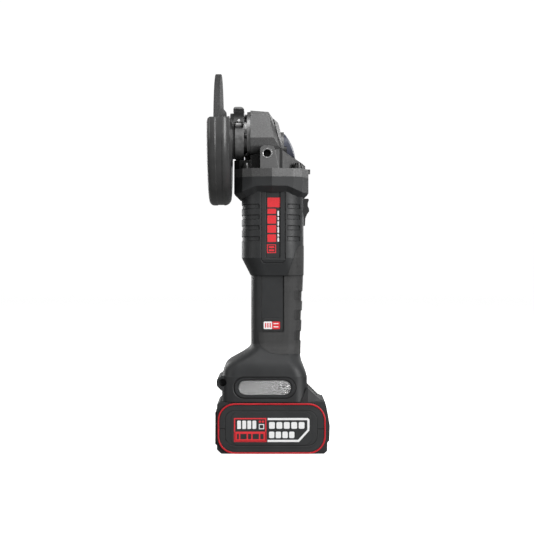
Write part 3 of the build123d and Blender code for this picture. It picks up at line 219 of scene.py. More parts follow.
# ---------------------------------------------------------------- materials
def moulded_plastic(name, dark, light, grain=2600, rough=0.5, boxes=(), below=None):
    """Spark-textured moulding: fine grain, faint mottling, and dark lines along the given boxes: seams, and
    painted shade in grooves and at panel steps.
    """
    t = Tree(name)
    mottle = t.noise(38, 4)
    colour = t.mix(t.range(mottle, 0.3, 0.7), dark, light)
    fine = t.noise(grain, 2, 0.6)
    pits = t.cells(grain * 0.5)
    height = t.plus(fine, t.times(pits, 0.5))
    normal = t.bump(height, 0.35, 0.00005, t.rounded(0.00035))
    if boxes:
        # Dark lines: seams, and painted shade in grooves and along panel steps.
        seam_and_groove_shade = t.seam_and_groove_lines(boxes, below)
        colour = t.mix(seam_and_groove_shade, colour, grey(0.003))
        normal = t.bump(t.times(seam_and_groove_shade, -1.0), 0.7, 0.0004, normal)
    gloss = t.range(t.noise(90, 3), 0.3, 0.7, rough - 0.05, rough + 0.06)
    t.set(Base_Color=colour, Roughness=gloss, Normal=normal)
    t.shader.inputs["Specular IOR Level"].default_value = 0.36
    return t.material


def cast_paint(name, dark, light, fleck):
    """Grainy paint with bright flecks on rough cast metal."""
    t = Tree(name)
    grain = t.noise(1500, 3, 0.7)
    flecks = t.range(t.cells(1700), 0.16, 0.05)
    colour = t.mix(t.range(grain, 0.35, 0.68), dark, light)
    colour = t.mix(t.times(flecks, 0.75), colour, fleck)
    colour = t.mix(t.times(t.worn_edge(0.0004), 0.35), colour, grey(0.32))
    x, _, z = t.split()[:3]
    over_flange = t.range(z, 0.2815, 0.2828)
    # Painted shade in the recess under the neck, left of the boss.
    low = t.range(t.plus(z, t.times(t.noise(120, 3), 0.004)), 0.3085, 0.2985)
    recess_shade = t.times(t.times(low, over_flange), t.range(x, -0.0118, -0.0128))
    colour = t.mix(t.times(recess_shade, 0.86), colour, grey(0.006))
    # Painted shade on the neck, left of its joint with the head.
    neck_shade = t.times(t.range(x, -0.0226, -0.0232), over_flange)
    colour = t.mix(t.times(neck_shade, 0.85), colour, grey(0.008))
    # Painted shade on the shoulder right of the boss.
    shoulder_shade = t.times(t.times(t.range(x, 0.0066, 0.0074), t.range(z, 0.3045, 0.3015)), over_flange)
    colour = t.mix(t.times(shoulder_shade, 0.78), colour, grey(0.012))
    # Slightly darker flange.
    colour = t.mix(t.range(z, 0.2828, 0.2815, 0.0, 0.3), colour, grey(0.02))
    height = t.plus(t.noise(1100, 3, 0.7), t.times(t.noise(160, 3), 0.6))
    normal = t.bump(height, 0.55, 0.00013, t.rounded(0.0005))
    t.set(Base_Color=colour, Roughness=t.range(grain, 0.3, 0.7, 0.5, 0.36), Metallic=0.55, Normal=normal)
    return t.material


def blasted_metal(name, base, rough=0.42):
    """Bead-blasted or tumbled bare metal with faint stains."""
    t = Tree(name)
    stain = t.noise(120, 5, 0.65)
    dark = shade(base, 0.62)
    colour = t.mix(t.range(stain, 0.35, 0.7), dark, base)
    normal = t.bump(t.noise(2200, 2), 0.4, 0.00005, t.rounded(0.0003))
    uneven_gloss = t.range(stain, 0.3, 0.75, rough - 0.08, rough + 0.1)
    t.set(Base_Color=colour, Roughness=uneven_gloss, Metallic=0.9, Normal=normal)
    return t.material


def turned_steel(name, base, rough=0.28):
    """Turned steel: fine rings about the spindle axis."""
    t = Tree(name)
    x, y, z = t.split()[:3]
    dz = t.minus(z, SPINDLE_Z)
    radius = t.length(y, dz)
    rings = t.math("SINE", t.plus(t.times(radius, 19000), t.times(x, 16000)))
    uneven = t.noise(300, 4)
    height = t.times(rings, t.range(uneven, 0.3, 0.7, 0.3, 1.0))
    colour = t.mix(t.range(t.noise(60, 5), 0.35, 0.7), shade(base, 0.7), base)
    normal = t.bump(height, 0.12, 0.00003, t.rounded(0.00025))
    uneven_gloss = t.range(uneven, 0.3, 0.7, rough - 0.05, rough + 0.12)
    t.set(Base_Color=colour, Roughness=uneven_gloss, Metallic=1.0, Normal=normal)
    return t.material


def plain_metal(name, base, rough=0.3):
    """Drawn or stamped metal with directionless fine scratches."""
    t = Tree(name)
    scratch = t.noise(500, 6, 0.75, t.scaled(1, 1, 0.12))
    colour = t.mix(t.range(scratch, 0.3, 0.7), shade(base, 0.75), base)
    normal = t.bump(scratch, 0.2, 0.00003, t.rounded(0.0002))
    uneven_gloss = t.range(scratch, 0.3, 0.7, rough - 0.06, rough + 0.1)
    t.set(Base_Color=colour, Roughness=uneven_gloss, Metallic=1.0, Normal=normal)
    return t.material


def threaded_insert(name):
    """Bright machined rim round a threaded bore darkened with painted shade."""
    t = Tree(name)
    x, y, z = t.split()[:3]
    thread_pitch = 0.00125
    low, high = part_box("handle_thread_inserts")
    dx = t.minus(x, (low.x + high.x) / 2)
    dz = t.minus(z, (low.z + high.z) / 2)
    radius = t.length(dx, dz)
    rim = t.range(radius, 0.0036, 0.0042)
    turns = t.math("SINE", t.times(y, 2 * math.pi / thread_pitch))
    scratch = t.noise(900, 4)
    # The bore is painted near-black as shade.
    colour = t.mix(rim, grey(0.05), t.mix(t.range(scratch, 0.3, 0.7), grey(0.7), grey(0.85)))
    height = t.times(turns, t.range(radius, 0.0038, 0.0034))
    normal = t.bump(height, 0.8, 0.0003, t.rounded(0.0004))
    t.set(Base_Color=colour, Roughness=t.range(scratch, 0.3, 0.7, 0.2, 0.34),
          Metallic=t.range(rim, 0, 1, 0.6, 1.0), Normal=normal)
    return t.material


def satin_paint(name, dark, light, chip, edge, grey_above=None):
    """Baked satin paint with slight orange peel, worn to grey on its edges, and grey above a given height.
    """
    t = Tree(name)
    haze = t.noise(45, 5, 0.6)
    colour = t.mix(t.range(haze, 0.3, 0.72), dark, light)
    # Grey above the given height, broken by noise.
    if grey_above is not None:
        height = t.plus(t.split()[2], t.times(t.noise(500, 4), 0.0016))
        colour = t.mix(t.range(height, grey_above, grey_above + 0.0016), colour, chip)
    wear = t.times(t.worn_edge(0.0007), t.range(t.noise(260, 4), 0.42, 0.62))
    colour = t.mix(t.times(wear, 0.5), colour, chip)
    height = t.plus(t.noise(420, 2), t.times(t.noise(2000, 2), 0.5))
    normal = t.bump(height, 0.3, 0.00007, t.rounded(edge))
    t.set(Base_Color=colour, Roughness=t.range(haze, 0.3, 0.7, 0.3, 0.4), Metallic=0.3, Normal=normal)
    return t.material


def abrasive(name):
    """Resin-bonded abrasive: coarse dark grain with glinting particles."""
    t = Tree(name)
    grain = t.cells(1150)
    coarse = t.noise(900, 4, 0.75)
    colour = t.mix(t.range(coarse, 0.35, 0.68), grey(0.012), grey(0.055))
    colour = t.mix(t.times(t.range(t.cells(1500), 0.17, 0.06), 0.7), colour, grey(0.3))
    height = t.plus(grain, t.times(coarse, 0.8))
    normal = t.bump(height, 0.8, 0.0003, t.rounded(0.0006))
    t.set(Base_Color=colour, Roughness=t.range(coarse, 0.3, 0.7, 0.55, 0.8), Normal=normal)
    return t.material


FINGER_FIELDS = (156.4, 136.9, 116.4)  # heights of the sunk fields on the pads, millimetres


def knurled_rubber(name):
    """Soft overmould with a fine square knurl that follows the side or the back of the grip."""
    t = Tree(name)
    x, y, z = t.split()[:3]
    facing = t.split(t.coords.outputs["Normal"])
    on_side = t.range(t.math("ABSOLUTE", facing[1]), 0.55, 0.75)
    across = t.plus(t.times(x, on_side), t.times(y, t.minus(1.0, on_side)))
    pitch = 0.00125  # of the knurl
    wave_a = t.ripple(across, pitch)
    wave_b = t.ripple(z, pitch)
    squares = t.range(t.math("MINIMUM", wave_a, wave_b), 0.05, 0.55)
    fine = t.noise(2400, 2)
    height = t.plus(squares, t.times(fine, 0.15))
    colour = t.mix(t.range(t.noise(40, 4), 0.3, 0.7), grey(0.034), grey(0.048))
    # Painted shade in the grooves between the knurl squares.
    colour = t.mix(squares, grey(0.02), colour)
    field = None
    for centre in FINGER_FIELDS:
        inside = t.range(t.box_distance(21.2, 60.0, centre - 5.4, centre + 5.4, 2.0), 0.0, -0.0007)
        field = inside if field is None else t.math("MAXIMUM", field, inside)
    # Painted shade in the sunk fields.
    colour = t.mix(t.times(field, 0.55), colour, grey(0.012))
    normal = t.bump(height, 0.6, 0.00018, t.rounded(0.0005))
    normal = t.bump(field, 0.5, 0.0006, normal)
    t.set(Base_Color=colour, Roughness=t.range(fine, 0.3, 0.7, 0.56, 0.7), Normal=normal)
    t.shader.inputs["Specular IOR Level"].default_value = 0.4
    return t.material


def glossy_plastic(name, dark, light, rough=0.22):
    """Smooth moulding with a faint swirl and small scuffs."""
    t = Tree(name)
    swirl = t.noise(60, 4, 0.5, distortion=1.5)
    colour = t.mix(t.range(swirl, 0.3, 0.7), dark, light)
    scuff = t.range(t.noise(700, 5, 0.8, t.scaled(1, 0.15, 1)), 0.55, 0.75)
    normal = t.bump(t.noise(1800, 2), 0.15, 0.00003, t.rounded(0.0003))
    t.set(Base_Color=colour, Roughness=t.range(scuff, 0, 1, rough, rough + 0.18), Normal=normal)
    return t.material


def printed(name, colour, rough=0.38):
    """Pad-printed ink or film with slight unevenness."""
    t = Tree(name)
    uneven = t.noise(900, 3)
    low = shade(colour, 0.86)
    t.set(
        Base_Color=t.mix(t.range(uneven, 0.3, 0.7), low, colour),
        Roughness=t.range(uneven, 0.3, 0.7, rough, rough + 0.12),
        Normal=t.bump(t.noise(2600, 2), 0.2, 0.00003),
    )
    return t.material


def board_material(name):
    """Green solder mask with darker copper tracks."""
    t = Tree(name)
    tracks = t.range(t.cells(260, "DISTANCE_TO_EDGE", randomness=0.6), 0.02, 0.06)
    colour = t.mix(tracks, (0.01, 0.09, 0.035, 1), (0.02, 0.2, 0.08, 1))
    t.set(Base_Color=colour, Roughness=t.range(t.noise(300), 0.3, 0.7, 0.25, 0.4),
          Normal=t.bump(tracks, 0.3, 0.00005))
    return t.material


def laminated(name):
    """Edge of a stack of thin steel sheets."""
    t = Tree(name)
    z = t.split()[2]
    lines = t.ripple(z, 0.0005)
    colour = t.mix(t.range(lines, 0.05, 0.4), grey(0.12), grey(0.34))
    t.set(Base_Color=colour, Roughness=t.range(t.noise(200), 0.3, 0.7, 0.3, 0.5), Metallic=1.0,
          Normal=t.bump(lines, 0.4, 0.00005))
    return t.material


def wound_wire(name):
    """Rows of enamelled copper wire."""
    t = Tree(name)
    z = t.split()[2]
    rows = t.ripple(z, 0.0009)
    # Painted shade between the rows of wire.
    colour = t.mix(t.range(rows, 0.0, 0.7), (0.12, 0.03, 0.01, 1), (0.62, 0.22, 0.07, 1))
    t.set(Base_Color=colour, Roughness=t.range(t.noise(500), 0.3, 0.7, 0.2, 0.35), Metallic=0.85,
          Normal=t.bump(rows, 0.8, 0.0002))
    return t.material


def felt_grey(name):
    """Grey filter fleece behind the gauze."""
    t = Tree(name)
    fibres = t.noise(1700, 5, 0.8, distortion=2.0)
    blotch = t.noise(420, 4, 0.7)
    colour = t.mix(t.range(fibres, 0.3, 0.7), grey(0.2), grey(0.42))
    colour = t.mix(t.range(blotch, 0.42, 0.62, 0.0, 0.8), colour, grey(0.07))
    t.set(Base_Color=colour, Roughness=t.range(fibres, 0.3, 0.7, 0.75, 0.9),
          Normal=t.bump(fibres, 0.6, 0.0002))
    return t.material


def clear_lens(name):
    """Slightly clouded clear plastic."""
    t = Tree(name)
    t.set(Base_Color=t.mix(t.range(t.noise(200), 0.3, 0.7), grey(0.28), grey(0.36)),
          Roughness=t.range(t.noise(400), 0.3, 0.7, 0.06, 0.14))
    t.shader.inputs["Transmission Weight"].default_value = 0.6
    return t.material


COOL = -0.04  # slight blue cast of the black plastic

# Outlines of panels and grooves: x0, x1, z0, z1, corner and line width in millimetres, then strength.
MOTOR_OUTLINES = [
    (-11.0, 12.8, 188.4, 270.0, 4.5, 0.55, 0.85),
    (-6.4, 7.7, 193.4, 270.0, 1.8, 0.45, 0.7),
]
for groove_z in (244.5, 233.9, 223.3, 212.4):  # the housing's grip grooves
    MOTOR_OUTLINES.append((-60.0, -13.0, groove_z - 2.2, groove_z + 2.2, 0.6, 0.45, 0.55))
    MOTOR_OUTLINES.append((14.8, 27.5, groove_z - 2.2, groove_z + 2.2, 0.6, 0.45, 0.55))
HANDLE_OUTLINES = [
    (-10.8, 11.4, 119.6, 190.0, 3.2, 0.55, 0.85),
    (-10.4, 10.2, 120.4, 133.4, 2.6, 0.4, 0.6),
    (-38.2, 23.0, 54.9, 75.7, 10.4, 0.9, 0.85),
]
PACK_OUTLINES = [
    (-46.6, 44.0, 8.6, 43.2, 9.5, 0.5, 0.75),
    (-41.0, 38.4, 9.0, 41.5, 7.0, 0.35, 0.35),
    (-60.0, -46.8, 24.8, 25.0, 0.05, 0.45, 0.8),
    (44.2, 60.0, 24.8, 25.0, 0.05, 0.45, 0.8),
]
RED = (0.68, 0.026, 0.035, 1)
WHITE = (0.8, 0.8, 0.8, 1)

looks = {
    "nylon": moulded_plastic("nylon", grey(0.0195, COOL), grey(0.0255, COOL)),
    "motor_nylon": moulded_plastic("motor_nylon", grey(0.0195, COOL), grey(0.0265, COOL),
                                   boxes=MOTOR_OUTLINES, below=258.9),
    "handle_nylon": moulded_plastic("handle_nylon", grey(0.0185, COOL), grey(0.0245, COOL),
                                    boxes=HANDLE_OUTLINES, below=176.4),
    "cover_plastic": moulded_plastic("cover_plastic", grey(0.0195, COOL), grey(0.0255, COOL),
                                     grain=2200, boxes=PACK_OUTLINES),
    "pack": moulded_plastic("pack", grey(0.018, COOL), grey(0.024, COOL), grain=2200, rough=0.52),
    "cast": cast_paint("cast", grey(0.105), grey(0.21), grey(0.5)),
    "cover": blasted_metal("cover", grey(0.42)),
    "band": blasted_metal("band", grey(0.4), 0.45),
    "guard": satin_paint("guard", grey(0.05), grey(0.076), grey(0.3), 0.0014),
    "lever": satin_paint("lever", grey(0.01), grey(0.015), grey(0.3), 0.0004, 0.3435),
    "steel": turned_steel("steel", grey(0.5)),
    "zinc": plain_metal("zinc", grey(0.6)),
    "insert": threaded_insert("insert"),
    "black_screw": plain_metal("black_screw", grey(0.07), 0.35),
    "bright": plain_metal("bright", grey(0.75), 0.16),
    "rivet": blasted_metal("rivet", grey(0.95), 0.5),
    "gear": plain_metal("gear", grey(0.38), 0.3),
    "brass": plain_metal("brass", (0.75, 0.5, 0.2, 1), 0.25),
    "abrasive": abrasive("abrasive"),
    "rubber": knurled_rubber("rubber"),
    "blue_black": glossy_plastic("blue_black", (0.05, 0.055, 0.075, 1), (0.065, 0.07, 0.095, 1), 0.42),
    "slider": moulded_plastic("slider", grey(0.02), grey(0.03), rough=0.45),
    "ring": glossy_plastic("ring", (0.45, 0.012, 0.02, 1), (0.58, 0.02, 0.03, 1), 0.3),
    "cell": glossy_plastic("cell", (0.05, 0.12, 0.3, 1), (0.08, 0.18, 0.42, 1), 0.25),
    "seal": moulded_plastic("seal", grey(0.012), grey(0.02), rough=0.7),
    "board": board_material("board"),
    "laminations": laminated("laminations"),
    "copper": wound_wire("copper"),
    "lead": glossy_plastic("lead", (0.3, 0.012, 0.012, 1), (0.4, 0.02, 0.02, 1), 0.4),
    "felt": felt_grey("felt"),
    "lens": clear_lens("lens"),
    "red_ink": printed("red_ink", RED),
    "white_ink": printed("white_ink", WHITE),
    "dark_ink": printed("dark_ink", grey(0.022)),
    "label_dark": printed("label_dark", grey(0.05), 0.45),
}

nodes_by_look = {
    "cast": "gear_housing",
    "black_screw": "gear_housing_screws bearing_cover_screws handle_screws",
    "cover": "bearing_cover",
    "insert": "handle_thread_inserts",
    "bright": "spindle_front_bearing spindle_rear_bearing motor_bearings",
    "seal": "spindle_dust_seal",
    "motor_nylon": "motor_housing",
    "laminations": "stator_core rotor_core",
    "copper": "stator_windings",
    "nylon": (
        "motor_end_plate switch_module terminal_block cooling_fan switch_rod left_filter_frame "
        "right_filter_frame cell_holders"
    ),
    "handle_nylon": "left_handle_shell right_handle_shell",
    "rubber": "left_grip_pad right_grip_pad",
    "board": "controller_board pack_board",
    "lead": "internal_leads",
    "brass": "tool_terminals pack_contacts",
    "steel": "spindle gear_spacer inner_flange lock_nut",
    "gear": "bevel_gear bevel_pinion",
    "abrasive": "grinding_disc",
    "zinc": "rotor_shaft guard_clamp_fasteners lock_pin lock_spring pack_screws latch_spring",
    "guard": "guard_shell",
    "band": "guard_clamp_band",
    "lever": "guard_lever",
    "rivet": "lever_rivet",
    "blue_black": "lock_button",
    "slider": "switch_slider gauge_button pack_latch",
    "felt": "left_filter_mesh right_filter_mesh",
    "pack": "pack_lower_case pack_upper_case",
    "cover_plastic": "pack_side_covers",
    "ring": "pack_rings",
    "cell": "battery_cells",
    "lens": "gauge_lens",
}

for look, names in nodes_by_look.items():
    for node_name in names.split():
        materials = nodes[node_name].data.materials
        materials.clear()
        materials.append(looks[look])


# ---------------------------------------------------------------- mesh helpers
def to_mesh(bm, name, smooth=False):
    """Mesh of a finished bmesh, with its faces turned outward."""
    bmesh.ops.recalc_face_normals(bm, faces=bm.faces[:])
    mesh = bpy.data.meshes.new(name)
    bm.to_mesh(mesh)
    bm.free()
    for polygon in mesh.polygons:
        polygon.use_smooth = smooth
    return mesh


def skin(bm, rings, closed=False):
    """Faces between rings of as many points: back to the first ring if closed, else capped."""
    following = rings[1:] + rings[:1] if closed else rings[1:]
    for first, second in zip(rings, following):
        for k in range(len(first)):
            n = (k + 1) % len(first)
            bm.faces.new((first[k], first[n], second[n], second[k]))
    if not closed:
        bm.faces.new(rings[0][::-1])
        bm.faces.new(rings[-1])


def add_piece(name, mesh, body, look):
    """Link a new mesh, give it its look and let it ride on a body."""
    piece = bpy.data.objects.new(name, mesh)
    bpy.context.scene.collection.objects.link(piece)
    mesh.materials.append(looks[look])
    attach(piece, body)
    return piece


def slab(points, y_front, thickness, bevel):
    """Flat shape in the XZ plane facing -Y, with a bevelled front edge."""
    bm = bmesh.new()
    verts = [bm.verts.new((x, y_front + thickness, z)) for x, z in points]
    face = bm.faces.new(verts)
    if face.normal.y > 0:
        face.normal_flip()
    bm.normal_update()
    if bm.faces[:][0].normal.y > 0:
        bmesh.ops.reverse_faces(bm, faces=bm.faces[:])
    result = bmesh.ops.extrude_face_region(bm, geom=bm.faces[:])
    front = [v for v in result["geom"] if isinstance(v, bmesh.types.BMVert)]
    for v in front:
        v.co.y = y_front
    bmesh.ops.recalc_face_normals(bm, faces=bm.faces[:])
    edges = [e for e in bm.edges if all(abs(v.co.y - y_front) < 1e-7 for v in e.verts)]
    bmesh.ops.bevel(bm, geom=edges, offset=bevel, segments=2, affect="EDGES", profile=0.5)
    return to_mesh(bm, "slab")


def rounded_box_points(x0, x1, z0, z1, r, steps=6):
    """Outline of a rounded rectangle."""
    points = []
    corners = ((x1 - r, z1 - r, 0), (x0 + r, z1 - r, 90), (x0 + r, z0 + r, 180), (x1 - r, z0 + r, 270))
    for cx, cz, start in corners:
        for i in range(steps + 1):
            a = math.radians(start + 90 * i / steps)
            points.append((cx + r * math.cos(a), cz + r * math.sin(a)))
    return points


def join_meshes(name, meshes):
    """One mesh of several."""
    bm = bmesh.new()
    for mesh in meshes:
        bm.from_mesh(mesh)
    joined = bpy.data.meshes.new(name)
    bm.to_mesh(joined)
    bm.free()
    return joined


def mirror_y(mesh):
    """Copy of a mesh mirrored in the XZ plane, with its faces turned back outward."""
    copy = mesh.copy()
    copy.transform(Matrix.Scale(-1, 4, (0, 1, 0)))
    copy.flip_normals()
    return copy


# ---------------------------------------------------------------- stage, camera, light
def make_room():
    """White floor and round backdrop, seen by the camera alone, so that the lamps shape the object."""
    bm = bmesh.new()
    reach = 7.0
    steps = 64
    profile = [(0.0, 0.0), (reach - 1.5, 0.0)]
    for i in range(1, 9):
        a = math.pi / 2 * i / 8
        profile.append((reach - 1.5 + 1.5 * math.sin(a), 1.5 - 1.5 * math.cos(a)))
    profile.append((reach, 7.0))
    profile.append((0.0, 9.0))
    rows = []
    for r, z in profile:
        if r == 0.0:
            rows.append([bm.verts.new((0, 0, z))])
        else:
            ring = [2 * math.pi * k / steps for k in range(steps)]
            rows.append([bm.verts.new((r * math.cos(a), r * math.sin(a), z)) for a in ring])
    for first, second in zip(rows, rows[1:]):
        for k in range(steps):
            n = (k + 1) % steps
            if len(first) == 1:
                bm.faces.new((first[0], second[k], second[n]))
            elif len(second) == 1:
                bm.faces.new((first[k], second[0], first[n]))
            else:
                bm.faces.new((first[k], second[k], second[n], first[n]))
    bmesh.ops.recalc_face_normals(bm, faces=bm.faces[:])
    bmesh.ops.reverse_faces(bm, faces=bm.faces[:])
    mesh = bpy.data.meshes.new("room")
    bm.to_mesh(mesh)
    bm.free()
    for polygon in mesh.polygons:
        polygon.use_smooth = True
    room = bpy.data.objects.new("room", mesh)
    bpy.context.scene.collection.objects.link(room)
    room.visible_diffuse = False
    room.visible_glossy = False
    room.visible_transmission = False
    room.visible_shadow = False
    t = Tree("pale_room")
    t.set(Base_Color=t.mix(t.noise(3, 2), grey(0.9), grey(0.93)),
          Roughness=t.range(t.noise(9), 0, 1, 0.8, 0.9))
    t.shader.inputs["Emission Color"].default_value = (1, 1, 1, 1)
    t.shader.inputs["Emission Strength"].default_value = 0.8
    mesh.materials.append(t.material)


def area_light(name, place, target, size, power):
    """Soft rectangular lamp that faces a point."""
    data = bpy.data.lights.new(name, "AREA")
    data.shape = "RECTANGLE"
    data.size, data.size_y = size
    data.energy = power
    light = bpy.data.objects.new(name, data)
    bpy.context.scene.collection.objects.link(light)
    light.location = place
    light.rotation_euler = (Vector(target) - Vector(place)).to_track_quat("-Z", "Y").to_euler()


def make_camera():
    """Level camera square to the -Y side."""
    view_width = 0.5425  # width of the picture at the middle of the tool
    distance = 1.2
    data = bpy.data.cameras.new("camera")
    data.sensor_width = 36.0
    data.lens = data.sensor_width * distance / view_width
    camera = bpy.data.objects.new("camera", data)
    bpy.context.scene.collection.objects.link(camera)
    camera.location = (-0.0054, -distance, 0.1844)
    camera.rotation_euler = (math.pi / 2, 0, 0)
    bpy.context.scene.camera = camera


def make_world():
    """Dim, even surroundings."""
    world = bpy.data.worlds.new("world")
    world.use_nodes = True
    background = world.node_tree.nodes["Background"]
    background.inputs["Color"].default_value = (1, 1, 1, 1)
    background.inputs["Strength"].default_value = 0.2
    bpy.context.scene.world = world
    bpy.context.scene.view_settings.view_transform = "Standard"


make_room()
make_camera()
make_world()
middle = (0, 0, 0.2)
area_light("key", (1.15, -1.25, 0.55), middle, (0.7, 1.4), 35)
area_light("top", (0.1, -0.6, 1.5), (0, 0, 0.3), (1.0, 0.6), 9)
area_light("fill", (-1.5, -1.0, 0.7), middle, (0.5, 1.2), 8)
area_light("rim", (0.9, 1.4, 0.8), middle, (0.8, 1.4), 9)
area_light("back", (-1.2, 1.4, 0.7), middle, (0.8, 1.4), 20)


# ---------------------------------------------------------------- gauze of the dust filters
def woven_gauze(name, centre_x, centre_z, length, height, y_middle, pitch, wire_r):
    """Plain-woven wires clipped to a slot-shaped outline."""
    bm = bmesh.new()
    sides = 5
    cap_r = height / 2
    straight = length / 2 - cap_r

    def half_span(offset):
        """Half-length of a wire along X at a height offset."""
        return straight + math.sqrt(max(0.0, cap_r ** 2 - offset ** 2))

    def half_rise(offset):
        """Half-length of a wire along Z at a sideways offset."""
        past = max(0.0, abs(offset) - straight)
        return math.sqrt(max(0.0, cap_r ** 2 - past ** 2))

    def wire(points, along_x):
        rings = []
        for x, y, z in points:
            ring = []
            for k in range(sides):
                a = 2 * math.pi * k / sides
                u = wire_r * math.cos(a)
                v = wire_r * math.sin(a)
                ring.append(bm.verts.new((x, y + u, z + v) if along_x else (x + v, y + u, z)))
            rings.append(ring)
        skin(bm, rings)

    def weave(count_across, reach_at, along_x):
        for i in range(-count_across, count_across + 1):
            offset = i * pitch
            reach = reach_at(offset)
            if reach < pitch:
                continue
            steps = int(2 * reach / (pitch / 2))
            points = []
            for s in range(steps + 1):
                along = -reach + 2 * reach * s / steps
                phase = math.pi * (along / pitch + i + (0 if along_x else 1))
                y = y_middle + wire_r * 0.95 * math.cos(phase)
                points.append((centre_x + along, y, centre_z + offset) if along_x
                              else (centre_x + offset, y, centre_z + along))
            wire(points, along_x)

    weave(int(cap_r / pitch), half_span, True)
    weave(int(length / 2 / pitch), half_rise, False)
    return to_mesh(bm, name, smooth=True)


def make_gauzes():
    """Woven gauze in front of both filter fleeces."""
    low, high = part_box("left_filter_mesh")
    centre_x = (low.x + high.x) / 2
    centre_z = (low.z + high.z) / 2
    length = high.x - low.x - 0.0006
    height = high.z - low.z - 0.0006
    left = woven_gauze("left_gauze", centre_x, centre_z, length, height, low.y - 0.00045, 0.00092, 0.00019)
    right = mirror_y(left)
    add_piece("left_gauze", left, "left_filter", "bright")
    add_piece("right_gauze", right, "right_filter", "bright")


make_gauzes()


# ---------------------------------------------------------------- springs
def coil(name, radius, wire, length, turns):
    """Round-wire compression spring along +Z from Z 0, with closed end turns."""
    bm = bmesh.new()
    around = 28
    sides = 8
    steps = int(turns * around)
    rings = []
    for i in range(steps + 1):
        share = i / steps
        rise = share * share * (3 - 2 * share)
        a = 2 * math.pi * turns * share
        z = wire + (length - 2 * wire) * rise
        ring = []
        for k in range(sides):
            b = 2 * math.pi * k / sides
            r = radius + wire * math.cos(b)
            ring.append(bm.verts.new((r * math.cos(a), r * math.sin(a), z + wire * math.sin(b))))
        rings.append(ring)
    skin(bm, rings)
    return to_mesh(bm, name, smooth=True)


def make_spring(node, axis, coil_r, body):
    """Wound coil in place of a CAD spring, from its fixed end."""
    low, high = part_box(node)
    direction = Vector(axis)
    length = (high - low).dot(direction)
    anchor = (low + high) / 2 - direction * length / 2
    mesh = coil(node.replace("spring", "coil"), coil_r, SPRING_WIRE_R, length, SPRING_TURNS)
    turn = Vector((0, 0, 1)).rotation_difference(direction)
    mesh.transform(Matrix.Translation(anchor) @ turn.to_matrix().to_4x4())
    piece = add_piece(mesh.name, mesh, body, "zinc")
    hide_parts(node)
    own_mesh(piece)


SPRING_WIRE_R = 0.00028
SPRING_TURNS = 2.4
make_spring("lock_spring", (1, 0, 0), 0.0033, "housing")
make_spring("latch_spring", (0, 0, 1), 0.0032, "battery_pack")


# ---------------------------------------------------------------- printed labels and rings
INK = 0.00006  # height of the ink over its surface
MOTOR_PANEL_Y = -0.0291
GRIP_PANEL_Y = -0.022


def bar(x0, x1, z0, z1, r):
    """Rounded bar as an outline in XZ, millimetres."""
    r = min(r, (x1 - x0) / 2.01, (z1 - z0) / 2.01)
    return rounded_box_points(x0 * MM, x1 * MM, z0 * MM, z1 * MM, r * MM)


def print_shape(outline, y_face):
    """Film of ink in the shape of an outline."""
    return slab(outline, y_face - INK, INK * 1.5, INK * 0.5)


def closed_band(outer, inner, y0, y1):
    """Band between two outlines with as many points, given in millimetres, from y0 to y1 in metres."""
    bm = bmesh.new()
    rings = []
    for line, y in ((outer, y1), (outer, y0), (inner, y0), (inner, y1)):
        rings.append([bm.verts.new((p[0] * MM, y, p[1] * MM)) for p in line])
    skin(bm, rings, closed=True)
    return to_mesh(bm, "band")


def print_frame(outline, width, y_face):
    """Closed line of even width that follows an outline, given in millimetres."""
    count = len(outline)
    inner = []
    for i in range(count):
        before = Vector(outline[i - 1])
        here = Vector(outline[i])
        after = Vector(outline[(i + 1) % count])
        a = (here - before).normalized()
        b = (after - here).normalized()
        bend = (Vector((-a.y, a.x)) + Vector((-b.y, b.x))).normalized()
        reach = width / max(0.3, bend.dot(Vector((-a.y, a.x))))
        inner.append(here + bend * reach)
    return closed_band(outline, inner, y_face - INK, y_face + INK)


def add_print(name, meshes, body, look):
    """One printed colour on the -Y side and its mirror image on the +Y side."""
    left = join_meshes(f"left_{name}", meshes)
    right = mirror_y(left)
    add_piece(f"left_{name}", left, body, look)
    add_piece(f"right_{name}", right, body, look)


RING_WIDTH = 1.5
RING_CORNER = 17.0
RING_STEP = 0.3
RING_DEPTH = 2.28


def make_rings():
    """Slim coloured rings, each stepped back at its edges, round both side covers of the pack."""
    low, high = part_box("pack_rings")
    x0, x1, z0, z1 = low.x / MM, high.x / MM, low.z / MM, high.z / MM
    lines = []
    for inset in (0.0, RING_STEP, RING_WIDTH - RING_STEP, RING_WIDTH):
        corner = RING_CORNER - inset
        lines.append(rounded_box_points(x0 + inset, x1 - inset, z0 + inset, z1 - inset, corner, 14))
    front = closed_band(lines[1], lines[2], low.y, low.y + 0.35 * MM)
    body = closed_band(lines[0], lines[3], low.y + RING_STEP * MM, low.y + RING_DEPTH * MM)
    left = join_meshes("left_ring", [front, body])
    both = join_meshes("pack_ring_pair", [left, mirror_y(left)])
    piece = add_piece("pack_ring_pair", both, "battery_pack", "ring")
    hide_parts("pack_rings")


def make_neck_rib():
    """Rib that joins the lower edge of the bearing cover to the chin under it."""
    outline = [(-27.9, 290.6), (-24.4, 290.6), (-24.4, 295.4), (-27.5, 295.4)]
    points = [(x * MM, z * MM) for x, z in outline]
    add_piece("neck_rib", slab(points, -0.0095, 0.019, 0.0006), "housing", "cast")


